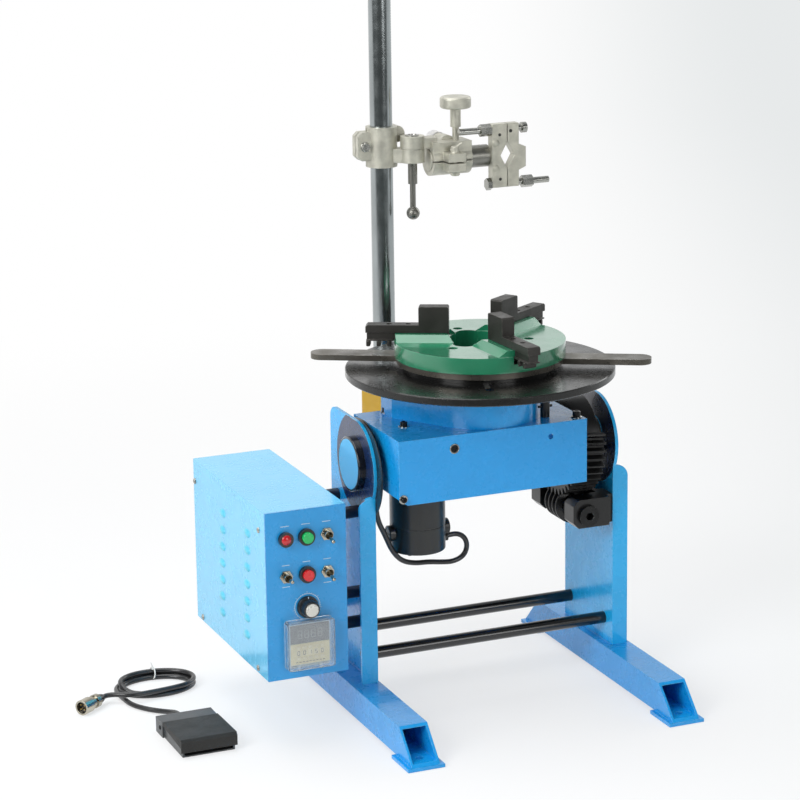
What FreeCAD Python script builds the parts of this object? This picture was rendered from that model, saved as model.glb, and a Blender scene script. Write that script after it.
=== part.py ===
import FreeCAD, Part

import math
import os

Vector = FreeCAD.Vector
X = Vector(1, 0, 0)
Y = Vector(0, 1, 0)
Z = Vector(0, 0, 1)

# Welding positioner, millimetres.  X runs along the tilt axis to the right, Y to the back, Z up.
# The origin lies on the floor in the middle of the four anchor holes.

# Fits
running_gap = 0.05        # radial, shaft in its bore
slide_gap = 0.15          # jaw in its guide, sleeve on its column
free_gap = 0.3            # between faces that pass each other
screw_hole_radius = 3.4   # clearance for a small clamping screw

# Feet
anchor_spacing_x = 322.4
anchor_spacing_y = 356.0
anchor_hole_radius = 4.5
foot_length = 392.0
foot_width = 34.0
foot_height = 36.0
foot_wall = 3.0
foot_end_slope = 36.0
pad_thickness = 4.0
pad_width = 44.0
pad_length = 48.0
pad_front_overhang = 2.0

# Uprights
left_wall_x = -146.8
right_wall_x = 154.3
upright_thickness = 4.0
upright_front = -24.4
upright_back = 102.5
upright_top = 341.0
upright_arc = 55.0
upright_corner = 14.0
flange_width = 19.6
flange_top = 262.0

# Crossbars
crossbar_radius = 7.25
crossbar_height = 68.0
crossbar_ys = (-1.5, 88.0)

# Tilt axis and its bearings
tilt_y = 24.5
tilt_z = 290.0
trunnion_radius = 15.0
trunnion_collar_radius = 24.0
trunnion_collar = 4.0
hub_radius = 32.0
hub_depth = 9.0
hub_sleeve_radius = 22.0
hub_cap_wall = 2.5
hub_sleeve_proud = 1.0

# Tilting housing of folded sheet
housing_left = -137.2
housing_right = 96.2
housing_front = -72.3
housing_back = 62.2
housing_bottom = 262.7
housing_top = 337.7
housing_wall = 3.0
corner_clip_width = 10.0
corner_clip_height = 7.0
front_hole_height = 322.0
front_hole_xs = (-69.6, 50.5)
front_hole_radii = (4.0, 3.2)

# Table and spindle
table_x = -6.4
table_y = -3.5
table_lift = 4.0
table_thickness = 9.0
table_radius = 155.0
table_hole_radius = 16.0
table_slot_inner = 60.0
table_slot_outer = 120.0
table_slot_width = 9.5
table_slot_first_angle = -109.0
spindle_radius = 20.0
spindle_bore_radius = 12.5
spindle_bottom = 268.0
spindle_flange_radius = 40.0
spindle_flange = 9.6
spindle_nut_radius = 27.0
spindle_nut = 8.0
bearing_outer_radius = 34.0
bearing_width = 15.0
bearing_tube_radius = 40.0
bearing_tube_bottom = 284.0
bearing_flange_radius = 50.0
bearing_flange = 4.0
bearing_lip = 2.0

# Spindle drive
gear_module = 2.0
spindle_gear_teeth = 56
pinion_teeth = 18
gear_face = 18.0
gear_lift = 4.3
motor_angle = 154.4
gear_hub_radius = 26.0
cover_radius = 66.0
cover_wall = 1.5
cover_headroom = 8.5
cover_left = -104.4
cover_left_y = 26.5
cover_back = 58.5
cover_hole_radius = 24.0
motor_radius = 32.5
motor_bottom = 177.0
motor_top = 262.2
motor_seam = 30.0
brush_cap_radius = 9.5
brush_cap_proud = 5.0
brush_cap_depth = 12.0
brush_cap_height = 22.0
gearbox_radius = 29.5
gearbox_shaft_radius = 6.0
shaft_hole_radius = 9.0
gland_radius = 4.0
gland_proud = 5.0
gland_height = 8.0
cable_radius = 3.1

# Ground brush
brush_x = 57.0
brush_y = -43.4
brush_holder_radius = 5.5
brush_radius = 3.5
brush_reach = 9.6
brush_pin_radius = 1.5
brush_pin_length = 17.0
brush_pin_lift = 12.3

# Tilt drive: worm and sector wheel
worm_module = 3.0
wheel_teeth = 43
worm_radius = 17.5
wheel_left = 99.6
wheel_right = 136.0
wheel_disc_radius = 50.0
wheel_hub_radius = 30.0
sector_start = 158.0
sector_end = 300.0
backlash = 0.3
worm_thread_length = 52.0
worm_shaft_radius = 7.0
worm_block_front = -32.5
worm_block_depth = 24.0
worm_block_left = 99.0
worm_block_right = 140.0
worm_block_above = 19.5
worm_block_below = 15.0
worm_block_chamfer = 7.0
bracket_plate = 6.0
drive_ring_radius = 12.5
drive_ring_length = 5.0
drive_socket_radius = 4.5

# Three-jaw chuck with a scroll ring
jaw_angles = (153.0, 33.0, -87.0)
backplate_radius = 88.0
backplate_thickness = 5.4
chuck_radius = 98.3
chuck_plate = 3.0
chuck_skirt = 4.3
chuck_hub_radius = 64.0
chuck_bore_radius = 36.0
chuck_lobe_radius = 14.0
chuck_lobe_centre = 31.0
chuck_screw_circle = 56.0
chuck_screw_head = 5.5
chuck_screw_sink = 6.0
scroll_seat_gap = 0.5
scroll_flange = 6.8
scroll_flange_radius = 96.0
scroll_ring_radius = 93.0
scroll_inner_radius = 66.0
scroll_disc = 9.7
scroll_pitch = 12.0
scroll_ridge = 5.4
scroll_ridge_height = 5.2
scroll_top_gap = 0.8
lever_reach = 196.0
lever_width = 28.0
lever_thickness = 6.6
lever_angle = 150.3
guide_inner_radius = 37.5
guide_outer_radius = 97.0
guide_lift = 7.4
guide_top_half = 15.0
guide_foot_half = 25.0
jaw_width = 15.5
jaw_neck = 2.0
jaw_inner = 35.2
jaw_block_outer = 69.7
jaw_block_rise = 21.3
jaw_bar_end = 130.7
jaw_bar_thickness = 9.3
jaw_rack_width = 4.6
jaw_rack_gap = 0.4
jaw_rack_end = 98.0
jaw_foot_lift = 0.9
jaw_screw_radius = 3.2
jaw_screw_sink = 6.0
jaw_screw_places = (82.0, 104.0)
jaw_travel_out = 20.0
jaw_travel_in = 25.0

# Column with its rack, and the torch holder that climbs it
column_x = -38.7
column_y = 206.5
column_radius = 13.5
column_top = 860.0
column_below_arm = 8.0
column_arm_width = 50.0
column_arm_bottom = 284.0
column_arm_height = 66.0
column_arm_end = 22.0
column_arm_slit = 3.0
column_arm_corner = 10.0
column_arm_rail = 12.0
rack_module = 1.0
rack_bottom = 420.0
rack_flat = 12.2
pinion_radius = 6.0
height_pinion_teeth = 12
holder_bottom = 598.0
sleeve_height = 48.0
sleeve_radius = 19.0
ear_reach = 33.5
ear_depth = 18.0
ear_height = 34.0
ear_slit = 2.0
swivel_dx = 31.5
swivel_dy = -20.3
boss_radius = 14.5
lug_lift = 5.5
lug_height = 16.3
arm_height = 15.0
arm_web_width = 18.0
block_left = 52.0
block_length = 50.0
block_radius = 19.0
block_lift = 6.0
ear_front = 16.0
clamp_ear_start = 12.0
clamp_ear_width = 22.0
clamp_ear_half_height = 11.0
tube_end = 128.5
tube_radius = 13.5
knob_radius = 18.8
knob_dx = 88.0
knob_stem_radius = 6.4
knob_lift = 66.5
knob_height = 14.0
stem_lift = 44.0
handle_collar_radius = 5.6
handle_rod_radius = 3.5
handle_ball_radius = 8.0
handle_drop = 48.0
clamp_offset_y = -11.0
clamp_depth = 12.0
clamp_half_height = 38.5
clamp_half_width = 19.5
clamp_right_width = 14.5
clamp_bulge = 9.3
clamp_gap = 1.0
diamond_half_width = 9.3
diamond_half_height = 16.0
bolt_radius = 4.0
bolt_offset = 33.5
nut_length = 14.0
nut_flat_radius = 6.5
clamp_opening = 5.5

# Control box
box_left = -296.2
box_right = -200.8
box_front = -69.0
box_back = 176.8
box_bottom = 79.2
box_top = 274.1
box_wall = 1.5
panel_thickness = 2.0
louver_count = 7
louver_pitch = 20.4
louver_top = 235.4
louver_columns = ((-12.5, 1.55), (70.9, 1.7))
louver_width = 10.0
louver_height = 3.0
spacer_radius = 7.0
spacer_places = ((8.0, 238.0), (8.0, 142.0), (8.0, 106.0), (82.0, 238.0), (82.0, 106.0))
column_pitch = 24.5
row_top = 242.5
row_low = 199.0
bezel_radius = 9.5
bezel_bore = 6.6
bezel_tail_radius = 8.0
bezel_proud = 5.0
bezel_tail = 18.0
button_radius = 6.4
button_proud = 9.0
button_travel = 2.5
lamp_lens_radius = 5.6
toggle_bush_radius = 4.8
toggle_bush_proud = 9.0
toggle_ball_radius = 2.7
toggle_pivot_depth = 5.0
toggle_lever_length = 17.0
toggle_lever_radius = 1.4
toggle_tip_radius = 2.1
toggle_nut_radius = 6.6
toggle_case_half = 6.5
toggle_case_depth = 16.0
toggle_tilt = 13.0
dial_height = 161.0
dial_skirt_radius = 12.5
dial_skirt = 4.0
dial_radius = 10.0
dial_depth = 15.0
dial_cap_radius = 7.5
dial_shaft_radius = 3.0
timer_height = 119.5
timer_side = 48.0
timer_cutout = 45.0
timer_proud = 5.0
timer_body_depth = 78.0
timer_cover_side = 56.0
timer_cover_depth = 12.0
timer_cover_wall = 1.5
timer_pin_radius = 1.0
timer_pin_lift = 1.9
timer_pin_front = 2.6
timer_eye_radius = 1.9
timer_ear_offset = 19.0
timer_ear_width = 6.0
timer_lug_offset = 12.5
timer_lug_width = 3.0
socket_radius = 10.0
socket_x = -225.0
socket_z = 110.0
mains_gland_x = -262.0
mains_gland_radius = 9.0

# Foot pedal and its cord
pedal_left = -396.0
pedal_right = -330.0
pedal_front = -55.5
pedal_back = 37.0
pedal_height = 21.0
pedal_wall = 2.0
pedal_floor = 1.5
pedal_pivot_y = 6.0
pedal_pivot_z = 11.0
pedal_ledge = 18.0
pedal_ledge_front = 13.0
pedal_travel = 4.0
pedal_plate = 2.5
pedal_skirt_bottom = 6.0
pedal_pin_radius = 2.0
pedal_ear = 4.0
switch_length = 24.0
switch_front = -22.0
switch_depth = 16.0
switch_height = 8.5
cord_radius = 3.0
cord_entry_x = -363.0
cord_entry_z = 9.0
coil_x = -354.0
coil_y = 168.0
coil_straight = 13.0
coil_radius = 40.0
coil_band = 13.0
coil_height = 11.5
plug_radius = 9.0
plug_length = 31.0
plug_face = (-459.4, 119.5)
plug_back = (-434.4, 137.5)
cord_from_pedal = (
    (-363.0, 45.0, 9.0), (-363.0, 59.0, 9.0), (-367.0, 73.0, 5.5), (-376.0, 87.0, 3.2),
    (-389.0, 101.0, 3.2), (-399.0, 119.0, 3.2), (-402.0, 138.0, 4.0), (-399.0, 152.0, 5.0))
cord_to_plug = (
    (-434.4, 137.5, 9.0), (-424.4, 144.7, 9.0), (-414.0, 154.5, 6.8), (-403.5, 167.0, 5.2))
motor_cable_route = (
    (-142.0, 48.6, 290.0), (-142.0, 60.0, 291.0), (-142.0, 67.0, 303.0), (-142.0, 62.0, 324.0),
    (-142.0, 41.0, 336.8), (-142.0, 10.0, 336.8), (-142.0, -14.0, 322.0), (-142.0, -22.0, 298.0),
    (-142.0, -20.0, 272.0), (-141.5, -11.0, 248.0), (-134.0, 1.0, 225.0), (-122.0, 9.0, 204.0),
    (-112.0, 14.0, 183.0), (-98.0, 19.0, 167.0), (-80.0, 23.0, 160.5), (-61.0, 25.5, 159.0),
    (-43.0, 27.5, 161.0), (-29.5, 28.3, 167.0), (-23.0, 28.5, 176.5), (-26.0, 28.5, 185.0),
    (-35.5, 28.5, 185.0))

foot_x = anchor_spacing_x / 2
foot_top = pad_thickness + foot_height
left_outer_x = left_wall_x - upright_thickness
right_outer_x = right_wall_x + upright_thickness

# Heights, each from the piece below it
gear_height = housing_top + bearing_flange + gear_lift
cover_height = bearing_flange + gear_lift + gear_face + cover_headroom + cover_wall
table_bottom = housing_top + cover_height + table_lift + spindle_flange
table_top = table_bottom + table_thickness
brush_holder_top = table_bottom - brush_reach
brush_pin_height = housing_top + brush_pin_lift
scroll_flange_bottom = table_top + backplate_thickness + scroll_seat_gap
scroll_ring_top = scroll_flange_bottom + scroll_flange + scroll_disc
chuck_plate_bottom = scroll_ring_top + scroll_ridge_height + scroll_top_gap
chuck_plate_top = chuck_plate_bottom + chuck_plate
guide_top = chuck_plate_top + guide_lift
jaw_bar_top = guide_top + jaw_bar_thickness
jaw_block_top = jaw_bar_top + jaw_block_rise
jaw_rack_bottom = scroll_ring_top + jaw_rack_gap
column_arm_top = column_arm_bottom + column_arm_height
column_bottom = column_arm_bottom - column_below_arm

# Places that follow from other sizes
gear_distance = gear_module * (spindle_gear_teeth + pinion_teeth) / 2
motor_x = table_x + gear_distance * math.cos(math.radians(motor_angle))
motor_y = table_y + gear_distance * math.sin(math.radians(motor_angle))
wheel_radius = worm_module * wheel_teeth / 2
worm_x = (wheel_left + wheel_right) / 2
worm_z = tilt_z - wheel_radius - worm_radius
worm_lead = math.pi * worm_module
worm_back = 2 * tilt_y - worm_block_front
swivel_x = column_x + swivel_dx
swivel_y = column_y + swivel_dy
tube_z = holder_bottom + block_lift
clamp_split_x = column_x + tube_end + clamp_half_width + clamp_gap / 2
clamp_y = swivel_y + clamp_offset_y
panel_x = (box_left + box_right) / 2
panel_back = box_front + panel_thickness


# ---------------------------------------------------------------- shape helpers

def block(x0, x1, y0, y1, z0, z1):
    return Part.makeBox(x1 - x0, y1 - y0, z1 - z0, Vector(x0, y0, z0))


def rod(radius, length, start, direction=Z):
    return Part.makeCylinder(radius, length, Vector(*start), direction)


def ring(outer, inner, length, start, direction=Z):
    return rod(outer, length, start, direction).cut(rod(inner, length, start, direction))


def fuse(shapes):
    return shapes[0].multiFuse(shapes[1:]).removeSplitter()


def wire_of(points):
    return Part.makePolygon(list(points) + [points[0]])


def prism_y(points, front, depth):
    """Extrudes an (x, z) outline towards the back."""
    outline = wire_of([Vector(x, front, z) for x, z in points])
    return Part.Face(outline).extrude(Vector(0, depth, 0))


def prism_x(points, left, width):
    """Extrudes a (y, z) outline to the right."""
    outline = wire_of([Vector(left, y, z) for y, z in points])
    return Part.Face(outline).extrude(Vector(width, 0, 0))


def turned(shape, angle, centre_x, centre_y):
    """A copy turned about a vertical line."""
    copy = shape.copy()
    copy.rotate(Vector(centre_x, centre_y, 0), Z, angle)
    return copy


def hexagon(flat_radius, length, start, direction):
    """A hexagonal nut or head, by its radius across flats."""
    corner = flat_radius / math.cos(math.pi / 6)
    points = [Vector(corner * math.cos(k * math.pi / 3), corner * math.sin(k * math.pi / 3), 0)
              for k in range(6)]
    shape = Part.Face(wire_of(points)).extrude(Vector(0, 0, length))
    shape.Placement = FreeCAD.Placement(Vector(*start), FreeCAD.Rotation(Z, direction))
    return shape


def rounded_route(points, share=0.45):
    """Straight runs joined by tangent arcs, each as large as its two runs allow."""
    corners = [Vector(*p) for p in points]
    edges = []
    start = corners[0]
    radii = []
    for before, corner, after in zip(corners, corners[1:], corners[2:]):
        incoming = (corner - before).normalize()
        outgoing = (after - corner).normalize()
        turn = math.acos(max(-1.0, min(1.0, incoming.dot(outgoing))))
        setback = share * min(before.distanceToPoint(corner), corner.distanceToPoint(after))
        radius = setback / math.tan(turn / 2)
        radii.append(radius)
        arc_start = corner - incoming * setback
        arc_end = corner + outgoing * setback
        inward = (outgoing - incoming).normalize()
        centre = corner + inward * (radius / math.cos(turn / 2))
        middle = centre - inward * radius
        edges.append(Part.LineSegment(start, arc_start).toShape())
        edges.append(Part.Arc(arc_start, middle, arc_end).toShape())
        start = arc_end
    edges.append(Part.LineSegment(start, corners[-1]).toShape())
    return Part.Wire(edges), radii


def cord_tube(points, radius, name):
    """A round cord along a rounded route; prints its radii and checks its volume."""
    path, radii = rounded_route(points)
    first = path.Edges[0]
    direction = first.tangentAt(first.FirstParameter)
    section = Part.Wire([Part.Circle(Vector(*points[0]), direction, radius).toShape()])
    tube = path.makePipeShell([section], True, True)
    expected = math.pi * radius ** 2 * path.Length
    print(name, "length", round(path.Length), "radii", [round(r) for r in radii],
          "volume ratio", round(tube.Volume / expected, 4))
    return tube


# ---------------------------------------------------------------- frame

def foot(centre_x):
    """Open rectangular tube with slanted ends on two welded pads."""
    half = foot_length / 2
    outline = [(-half, pad_thickness), (half, pad_thickness),
               (half - foot_end_slope, foot_top), (-half + foot_end_slope, foot_top)]
    body = prism_x(outline, centre_x - foot_width / 2, foot_width)
    hollow = block(centre_x - foot_width / 2 + foot_wall, centre_x + foot_width / 2 - foot_wall,
                   -half, half, pad_thickness + foot_wall, foot_top - foot_wall)
    pieces = [body.cut(hollow)]
    for side in (-1, 1):
        outer_end = side * (half + pad_front_overhang)
        inner_end = outer_end - side * pad_length
        pieces.append(block(centre_x - pad_width / 2, centre_x + pad_width / 2,
                            min(outer_end, inner_end), max(outer_end, inner_end), 0, pad_thickness))
    holes = [rod(anchor_hole_radius, pad_thickness + foot_wall, (centre_x, y, 0))
             for y in (-anchor_spacing_y / 2, anchor_spacing_y / 2)]
    return fuse(pieces).cut(holes)


def upright(wall_x, outward):
    """Side plate with a folded front flange and a rounded top; wall_x is its inner face."""
    arc_z = upright_top - upright_arc
    front_y = tilt_y - upright_front
    meet_z = arc_z - math.sqrt(upright_arc ** 2 - front_y ** 2)
    top_corner = upright_back - upright_corner
    half_turn = math.sqrt(0.5)
    points = {
        "foot_front": (upright_front, foot_top), "arc_start": (upright_front, meet_z),
        "arc_middle": (tilt_y - upright_arc * math.cos(0.3), arc_z + upright_arc * math.sin(0.3)),
        "arc_end": (tilt_y, upright_top), "corner_start": (top_corner, upright_top),
        "corner_middle": (top_corner + upright_corner * half_turn,
                          upright_top - upright_corner * (1 - half_turn)),
        "corner_end": (upright_back, upright_top - upright_corner),
        "foot_back": (upright_back, foot_top)}
    p = {name: Vector(wall_x, y, z) for name, (y, z) in points.items()}
    edges = [
        Part.LineSegment(p["foot_front"], p["arc_start"]).toShape(),
        Part.Arc(p["arc_start"], p["arc_middle"], p["arc_end"]).toShape(),
        Part.LineSegment(p["arc_end"], p["corner_start"]).toShape(),
        Part.Arc(p["corner_start"], p["corner_middle"], p["corner_end"]).toShape(),
        Part.LineSegment(p["corner_end"], p["foot_back"]).toShape(),
        Part.LineSegment(p["foot_back"], p["foot_front"]).toShape()]
    plate = Part.Face(Part.Wire(edges)).extrude(Vector(outward * upright_thickness, 0, 0))
    flange_end = wall_x + outward * flange_width
    flange = block(min(wall_x, flange_end), max(wall_x, flange_end),
                   upright_front, upright_front + upright_thickness, foot_top, flange_top)
    corner = [e for e in flange.Edges if abs(e.Length - upright_thickness) < 0.01
              and abs(e.Vertexes[0].X - flange_end) < 0.01 and e.Vertexes[0].Z > foot_top + 1]
    flange = flange.makeFillet(flange_width - upright_thickness - 1, corner)
    bearing_seat = rod(hub_sleeve_radius, upright_thickness + 2, (wall_x - outward, tilt_y, tilt_z),
                       X * outward)
    return fuse([plate, flange]).cut(bearing_seat)


def crossbars():
    return [rod(crossbar_radius, right_wall_x - left_wall_x, (left_wall_x, y, crossbar_height), X)
            for y in crossbar_ys]


def trunnion_bearing(wall_x, outward):
    """Flanged bearing with a closed cap, standing outside the side plate."""
    outer_x = wall_x + outward * upright_thickness
    direction = X * outward
    flange = rod(hub_radius, hub_depth, (outer_x, tilt_y, tilt_z), direction)
    rim = [e for e in flange.Edges if e.Curve.TypeId == "Part::GeomCircle"
           and abs(e.CenterOfMass.x - outer_x) > hub_depth / 2]
    flange = flange.makeFillet(1.2, rim)
    sleeve_start = (wall_x - outward * hub_sleeve_proud, tilt_y, tilt_z)
    sleeve = rod(hub_sleeve_radius, hub_sleeve_proud + upright_thickness, sleeve_start, direction)
    bore_depth = hub_sleeve_proud + upright_thickness + hub_depth - hub_cap_wall
    bore = rod(trunnion_radius + running_gap, bore_depth, sleeve_start, direction)
    return fuse([flange, sleeve]).cut(bore)


def trunnion_bearings():
    return [trunnion_bearing(left_wall_x, -1), trunnion_bearing(right_wall_x, 1)]


def worm_bracket():
    """Two chamfered bearing blocks on one plate, bolted to the right side plate."""
    low = worm_z - worm_block_below
    high = worm_z + worm_block_above
    c = worm_block_chamfer
    outline = [(worm_block_left + c, low), (worm_block_right, low), (worm_block_right, high),
               (worm_block_left + c, high), (worm_block_left, high - c), (worm_block_left, low + c)]
    back_start = worm_back - worm_block_depth
    blocks = [prism_y(outline, worm_block_front, worm_block_depth),
              prism_y(outline, back_start, worm_block_depth)]
    plate = block(worm_block_right, worm_block_right + bracket_plate,
                  worm_block_front, worm_back, low, high)
    spacers = [block(worm_block_right, right_wall_x, y, y + worm_block_depth, low, high)
               for y in (worm_block_front + 10, back_start)]
    bore = rod(worm_shaft_radius + running_gap, worm_back - worm_block_front,
               (worm_x, worm_block_front, worm_z), Y)
    return fuse(blocks + [plate] + spacers).cut(bore)


# ---------------------------------------------------------------- control box

def louver_slots():
    slots = []
    for start_y, lean in louver_columns:
        for k in range(louver_count):
            y = start_y + lean * k
            z = louver_top - louver_pitch * k
            slots.append(block(box_left - 1, box_left + box_wall + 1, y - louver_width / 2,
                               y + louver_width / 2, z - louver_height / 2, z + louver_height / 2))
    return slots


def control_box():
    """Sheet box, open at the front where the panel closes it."""
    shell = block(box_left, box_right, panel_back, box_back, box_bottom, box_top)
    inside = block(box_left + box_wall, box_right - box_wall, panel_back - 1, box_back - box_wall,
                   box_bottom + box_wall, box_top - box_wall)
    tools = [inside] + louver_slots()
    tools.append(rod(socket_radius - 1.5, box_wall + 2, (socket_x, box_back - box_wall - 1, socket_z), Y))
    tools.append(rod(mains_gland_radius - 2, box_wall + 2,
                     (mains_gland_x, box_back - box_wall - 1, socket_z), Y))
    return shell.cut(tools)


def control_panel():
    plate = block(box_left, box_right, box_front, panel_back, box_bottom, box_top)
    holes = []
    for x in (panel_x - column_pitch, panel_x):
        holes.append(rod(bezel_tail_radius, panel_thickness, (x, box_front, row_top), Y))
    holes.append(rod(bezel_tail_radius, panel_thickness, (panel_x, box_front, row_low), Y))
    for x, z in toggle_places():
        holes.append(rod(toggle_bush_radius, panel_thickness, (x, box_front, z), Y))
    holes.append(rod(dial_shaft_radius + running_gap, panel_thickness, (panel_x, box_front, dial_height), Y))
    half = timer_cutout / 2
    holes.append(block(panel_x - half, panel_x + half, box_front, panel_back,
                       timer_height - half, timer_height + half))
    return plate.cut(holes)


def box_spacers():
    return [rod(spacer_radius, left_outer_x - box_right, (box_right, y, z), X)
            for y, z in spacer_places]


def button_bezel(x, z):
    rim = ring(bezel_radius, bezel_bore, bezel_proud, (x, box_front - bezel_proud, z), Y)
    tail = ring(bezel_tail_radius, bezel_bore, bezel_tail, (x, box_front, z), Y)
    return fuse([rim, tail])


def button_bezels():
    return [button_bezel(panel_x, row_top), button_bezel(panel_x, row_low)]


def push_button(z):
    """Cap and plunger that travel in the bezel."""
    body = rod(button_radius, button_proud + bezel_tail - 1, (panel_x, box_front - button_proud, z), Y)
    front_edge = [e for e in body.Edges if abs(e.CenterOfMass.y - box_front + button_proud) < 0.1
                  and e.Curve.TypeId == "Part::GeomCircle"]
    return body.makeFillet(0.8, front_edge)


def pilot_lamp():
    x = panel_x - column_pitch
    rim = rod(bezel_radius - 1, bezel_proud, (x, box_front - bezel_proud, row_top), Y)
    lens = Part.makeSphere(lamp_lens_radius + 2, Vector(x, box_front - bezel_proud + 5, row_top))
    lens = lens.common(rod(lamp_lens_radius, 12, (x, box_front - bezel_proud - 8, row_top), Y))
    tail = rod(bezel_tail_radius, bezel_tail, (x, box_front, row_top), Y)
    return fuse([rim, lens, tail])


def toggle_places():
    """Power, direction and mode switches."""
    return ((panel_x + column_pitch, row_top), (panel_x + column_pitch, row_low),
            (panel_x - column_pitch, row_low))


def toggle_body(x, z):
    """Threaded bush with its nut, its ball seat and its flared mouth."""
    mouth_y = box_front - toggle_bush_proud
    half = toggle_case_half
    bush = rod(toggle_bush_radius, toggle_bush_proud + 3, (x, mouth_y, z), Y)
    nut = hexagon(toggle_nut_radius, 2.5, (x, box_front - 2.5, z), Y)
    case = block(x - half, x + half, panel_back, panel_back + toggle_case_depth, z - half, z + half)
    seat = rod(toggle_ball_radius + running_gap, toggle_pivot_depth + 4, (x, mouth_y, z), Y)
    mouth = Part.makeCone(toggle_bush_radius - 0.6, toggle_ball_radius, toggle_pivot_depth - 0.5,
                          Vector(x, mouth_y, z), Y)
    return fuse([bush, nut, case]).cut([seat, mouth])


def toggle_bodies():
    return [toggle_body(x, z) for x, z in toggle_places()]


def toggle_lever(place, tilt):
    """Ball, stem and swelling tip; a positive tilt points the tip down."""
    x, z = place
    pivot_y = box_front - toggle_bush_proud + toggle_pivot_depth
    ball = Part.makeSphere(toggle_ball_radius, Vector(x, pivot_y, z))
    stem = Part.makeCone(toggle_lever_radius, toggle_tip_radius, toggle_lever_length,
                         Vector(x, pivot_y, z), -Y)
    tip = Part.makeSphere(toggle_tip_radius, Vector(x, pivot_y - toggle_lever_length, z))
    lever = fuse([ball, stem, tip])
    lever.rotate(Vector(x, pivot_y, z), X, tilt)
    return lever


def speed_dial():
    """Skirted knob with a metal cap, on the shaft of the speed control."""
    front = box_front - free_gap
    skirt = rod(dial_skirt_radius, dial_skirt, (panel_x, front, dial_height), -Y)
    grip = rod(dial_radius, dial_depth, (panel_x, front, dial_height), -Y)
    cap = rod(dial_cap_radius, dial_depth + 1, (panel_x, front, dial_height), -Y)
    shaft = rod(dial_shaft_radius, 14, (panel_x, front, dial_height), Y)
    pointer = block(panel_x - 0.6, panel_x + 0.6, front - dial_skirt - 0.6, front - dial_skirt,
                    dial_height + dial_radius, dial_height + dial_skirt_radius)
    return fuse([skirt, grip, cap, shaft, pointer])


def timer_lug_places():
    return panel_x - timer_lug_offset, panel_x + timer_lug_offset


def timer_case():
    """Square front with a body behind the panel, and two hinge lugs under the front."""
    half = timer_side / 2
    inner = timer_cutout / 2
    front = block(panel_x - half, panel_x + half, box_front - timer_proud, box_front,
                  timer_height - half, timer_height + half)
    body = block(panel_x - inner, panel_x + inner, box_front, box_front + timer_body_depth,
                 timer_height - inner, timer_height + inner)
    pin_z = timer_height - timer_cover_side / 2 + timer_pin_lift
    pin = rod(timer_pin_radius, timer_side, (panel_x - half, box_front - timer_pin_front, pin_z), X)
    lugs = [block(x - timer_lug_width / 2, x + timer_lug_width / 2, box_front - 4, box_front,
                  pin_z - 1.5, timer_height - half) for x in timer_lug_places()]
    return fuse([front, body, pin] + lugs)


def timer_cover():
    """Clear cover that swings down on the pin of the timer."""
    half = timer_cover_side / 2
    wall = timer_cover_wall
    back = box_front - free_gap
    low = timer_height - half
    high = timer_height + half
    shell = block(panel_x - half, panel_x + half, back - timer_cover_depth, back, low, high)
    upright_edges = [e for e in shell.Edges if abs(e.BoundBox.YLength - timer_cover_depth) < 0.01]
    shell = shell.makeFillet(3.0, upright_edges)
    inside = block(panel_x - half + wall, panel_x + half - wall, back - timer_cover_depth + wall, back + 1,
                   low + wall, high - wall)
    pin_z = low + timer_pin_lift
    pin_y = box_front - timer_pin_front
    ears = []
    for side in (-1, 1):
        start = panel_x + side * timer_ear_offset - timer_ear_width / 2
        ears.append(rod(timer_eye_radius, timer_ear_width, (start, pin_y, pin_z), X))
        ears.append(block(start, start + timer_ear_width, pin_y - 3, pin_y, low,
                          pin_z + timer_eye_radius / 2))
    pin_hole = rod(timer_pin_radius + running_gap, timer_cover_side, (panel_x - half, pin_y, pin_z), X)
    lug_half = timer_lug_width / 2 + free_gap
    lug_slots = [block(x - lug_half, x + lug_half, box_front - 5.5, back + 1, low - 1, pin_z + 4)
                 for x in timer_lug_places()]
    swing_relief = block(panel_x - half, panel_x + half, pin_y + 1.6, back + 1, low - 1, pin_z)
    return fuse([shell.cut(inside)] + ears).cut([pin_hole, swing_relief] + lug_slots)


def mains_gland():
    start = (mains_gland_x, box_back, socket_z)
    return fuse([hexagon(mains_gland_radius, 6, start, Y), rod(mains_gland_radius - 2, 14, start, Y),
                 rod(mains_gland_radius - 2, 4, (mains_gland_x, box_back - 4, socket_z), Y)]).cut(
        rod(3.5, 24, (mains_gland_x, box_back - 5, socket_z), Y))


def pedal_socket():
    start = (socket_x, box_back, socket_z)
    flange = rod(socket_radius + 2, 2, start, Y)
    shell = rod(socket_radius - 1.5, 12, (socket_x, box_back - 4, socket_z), Y)
    recess = rod(socket_radius - 3, 7, (socket_x, box_back + 1, socket_z), Y)
    return fuse([flange, shell]).cut(recess)


# ---------------------------------------------------------------- tilting head

def housing():
    """Folded sheet housing, open below, with the lower left corner clipped."""
    shell = block(housing_left, housing_right, housing_front, housing_back, housing_bottom, housing_top)
    w = housing_wall
    inside = block(housing_left + w, housing_right - w, housing_front + w, housing_back - w,
                   housing_bottom - 1, housing_top - w)
    clip = prism_y([(housing_left - 1, housing_bottom - 1),
                    (housing_left + corner_clip_width, housing_bottom - 1),
                    (housing_left + corner_clip_width, housing_bottom),
                    (housing_left, housing_bottom + corner_clip_height),
                    (housing_left - 1, housing_bottom + corner_clip_height)],
                   housing_front - 1, housing_back - housing_front + 2)
    tools = [inside, clip]
    tools.append(rod(bearing_tube_radius, w, (table_x, table_y, housing_top - w)))
    tools.append(rod(shaft_hole_radius, w, (motor_x, motor_y, housing_top - w)))
    for x, radius in zip(front_hole_xs, front_hole_radii):
        tools.append(rod(radius, w, (x, housing_front, front_hole_height), Y))
    return shell.cut(tools)


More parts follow.
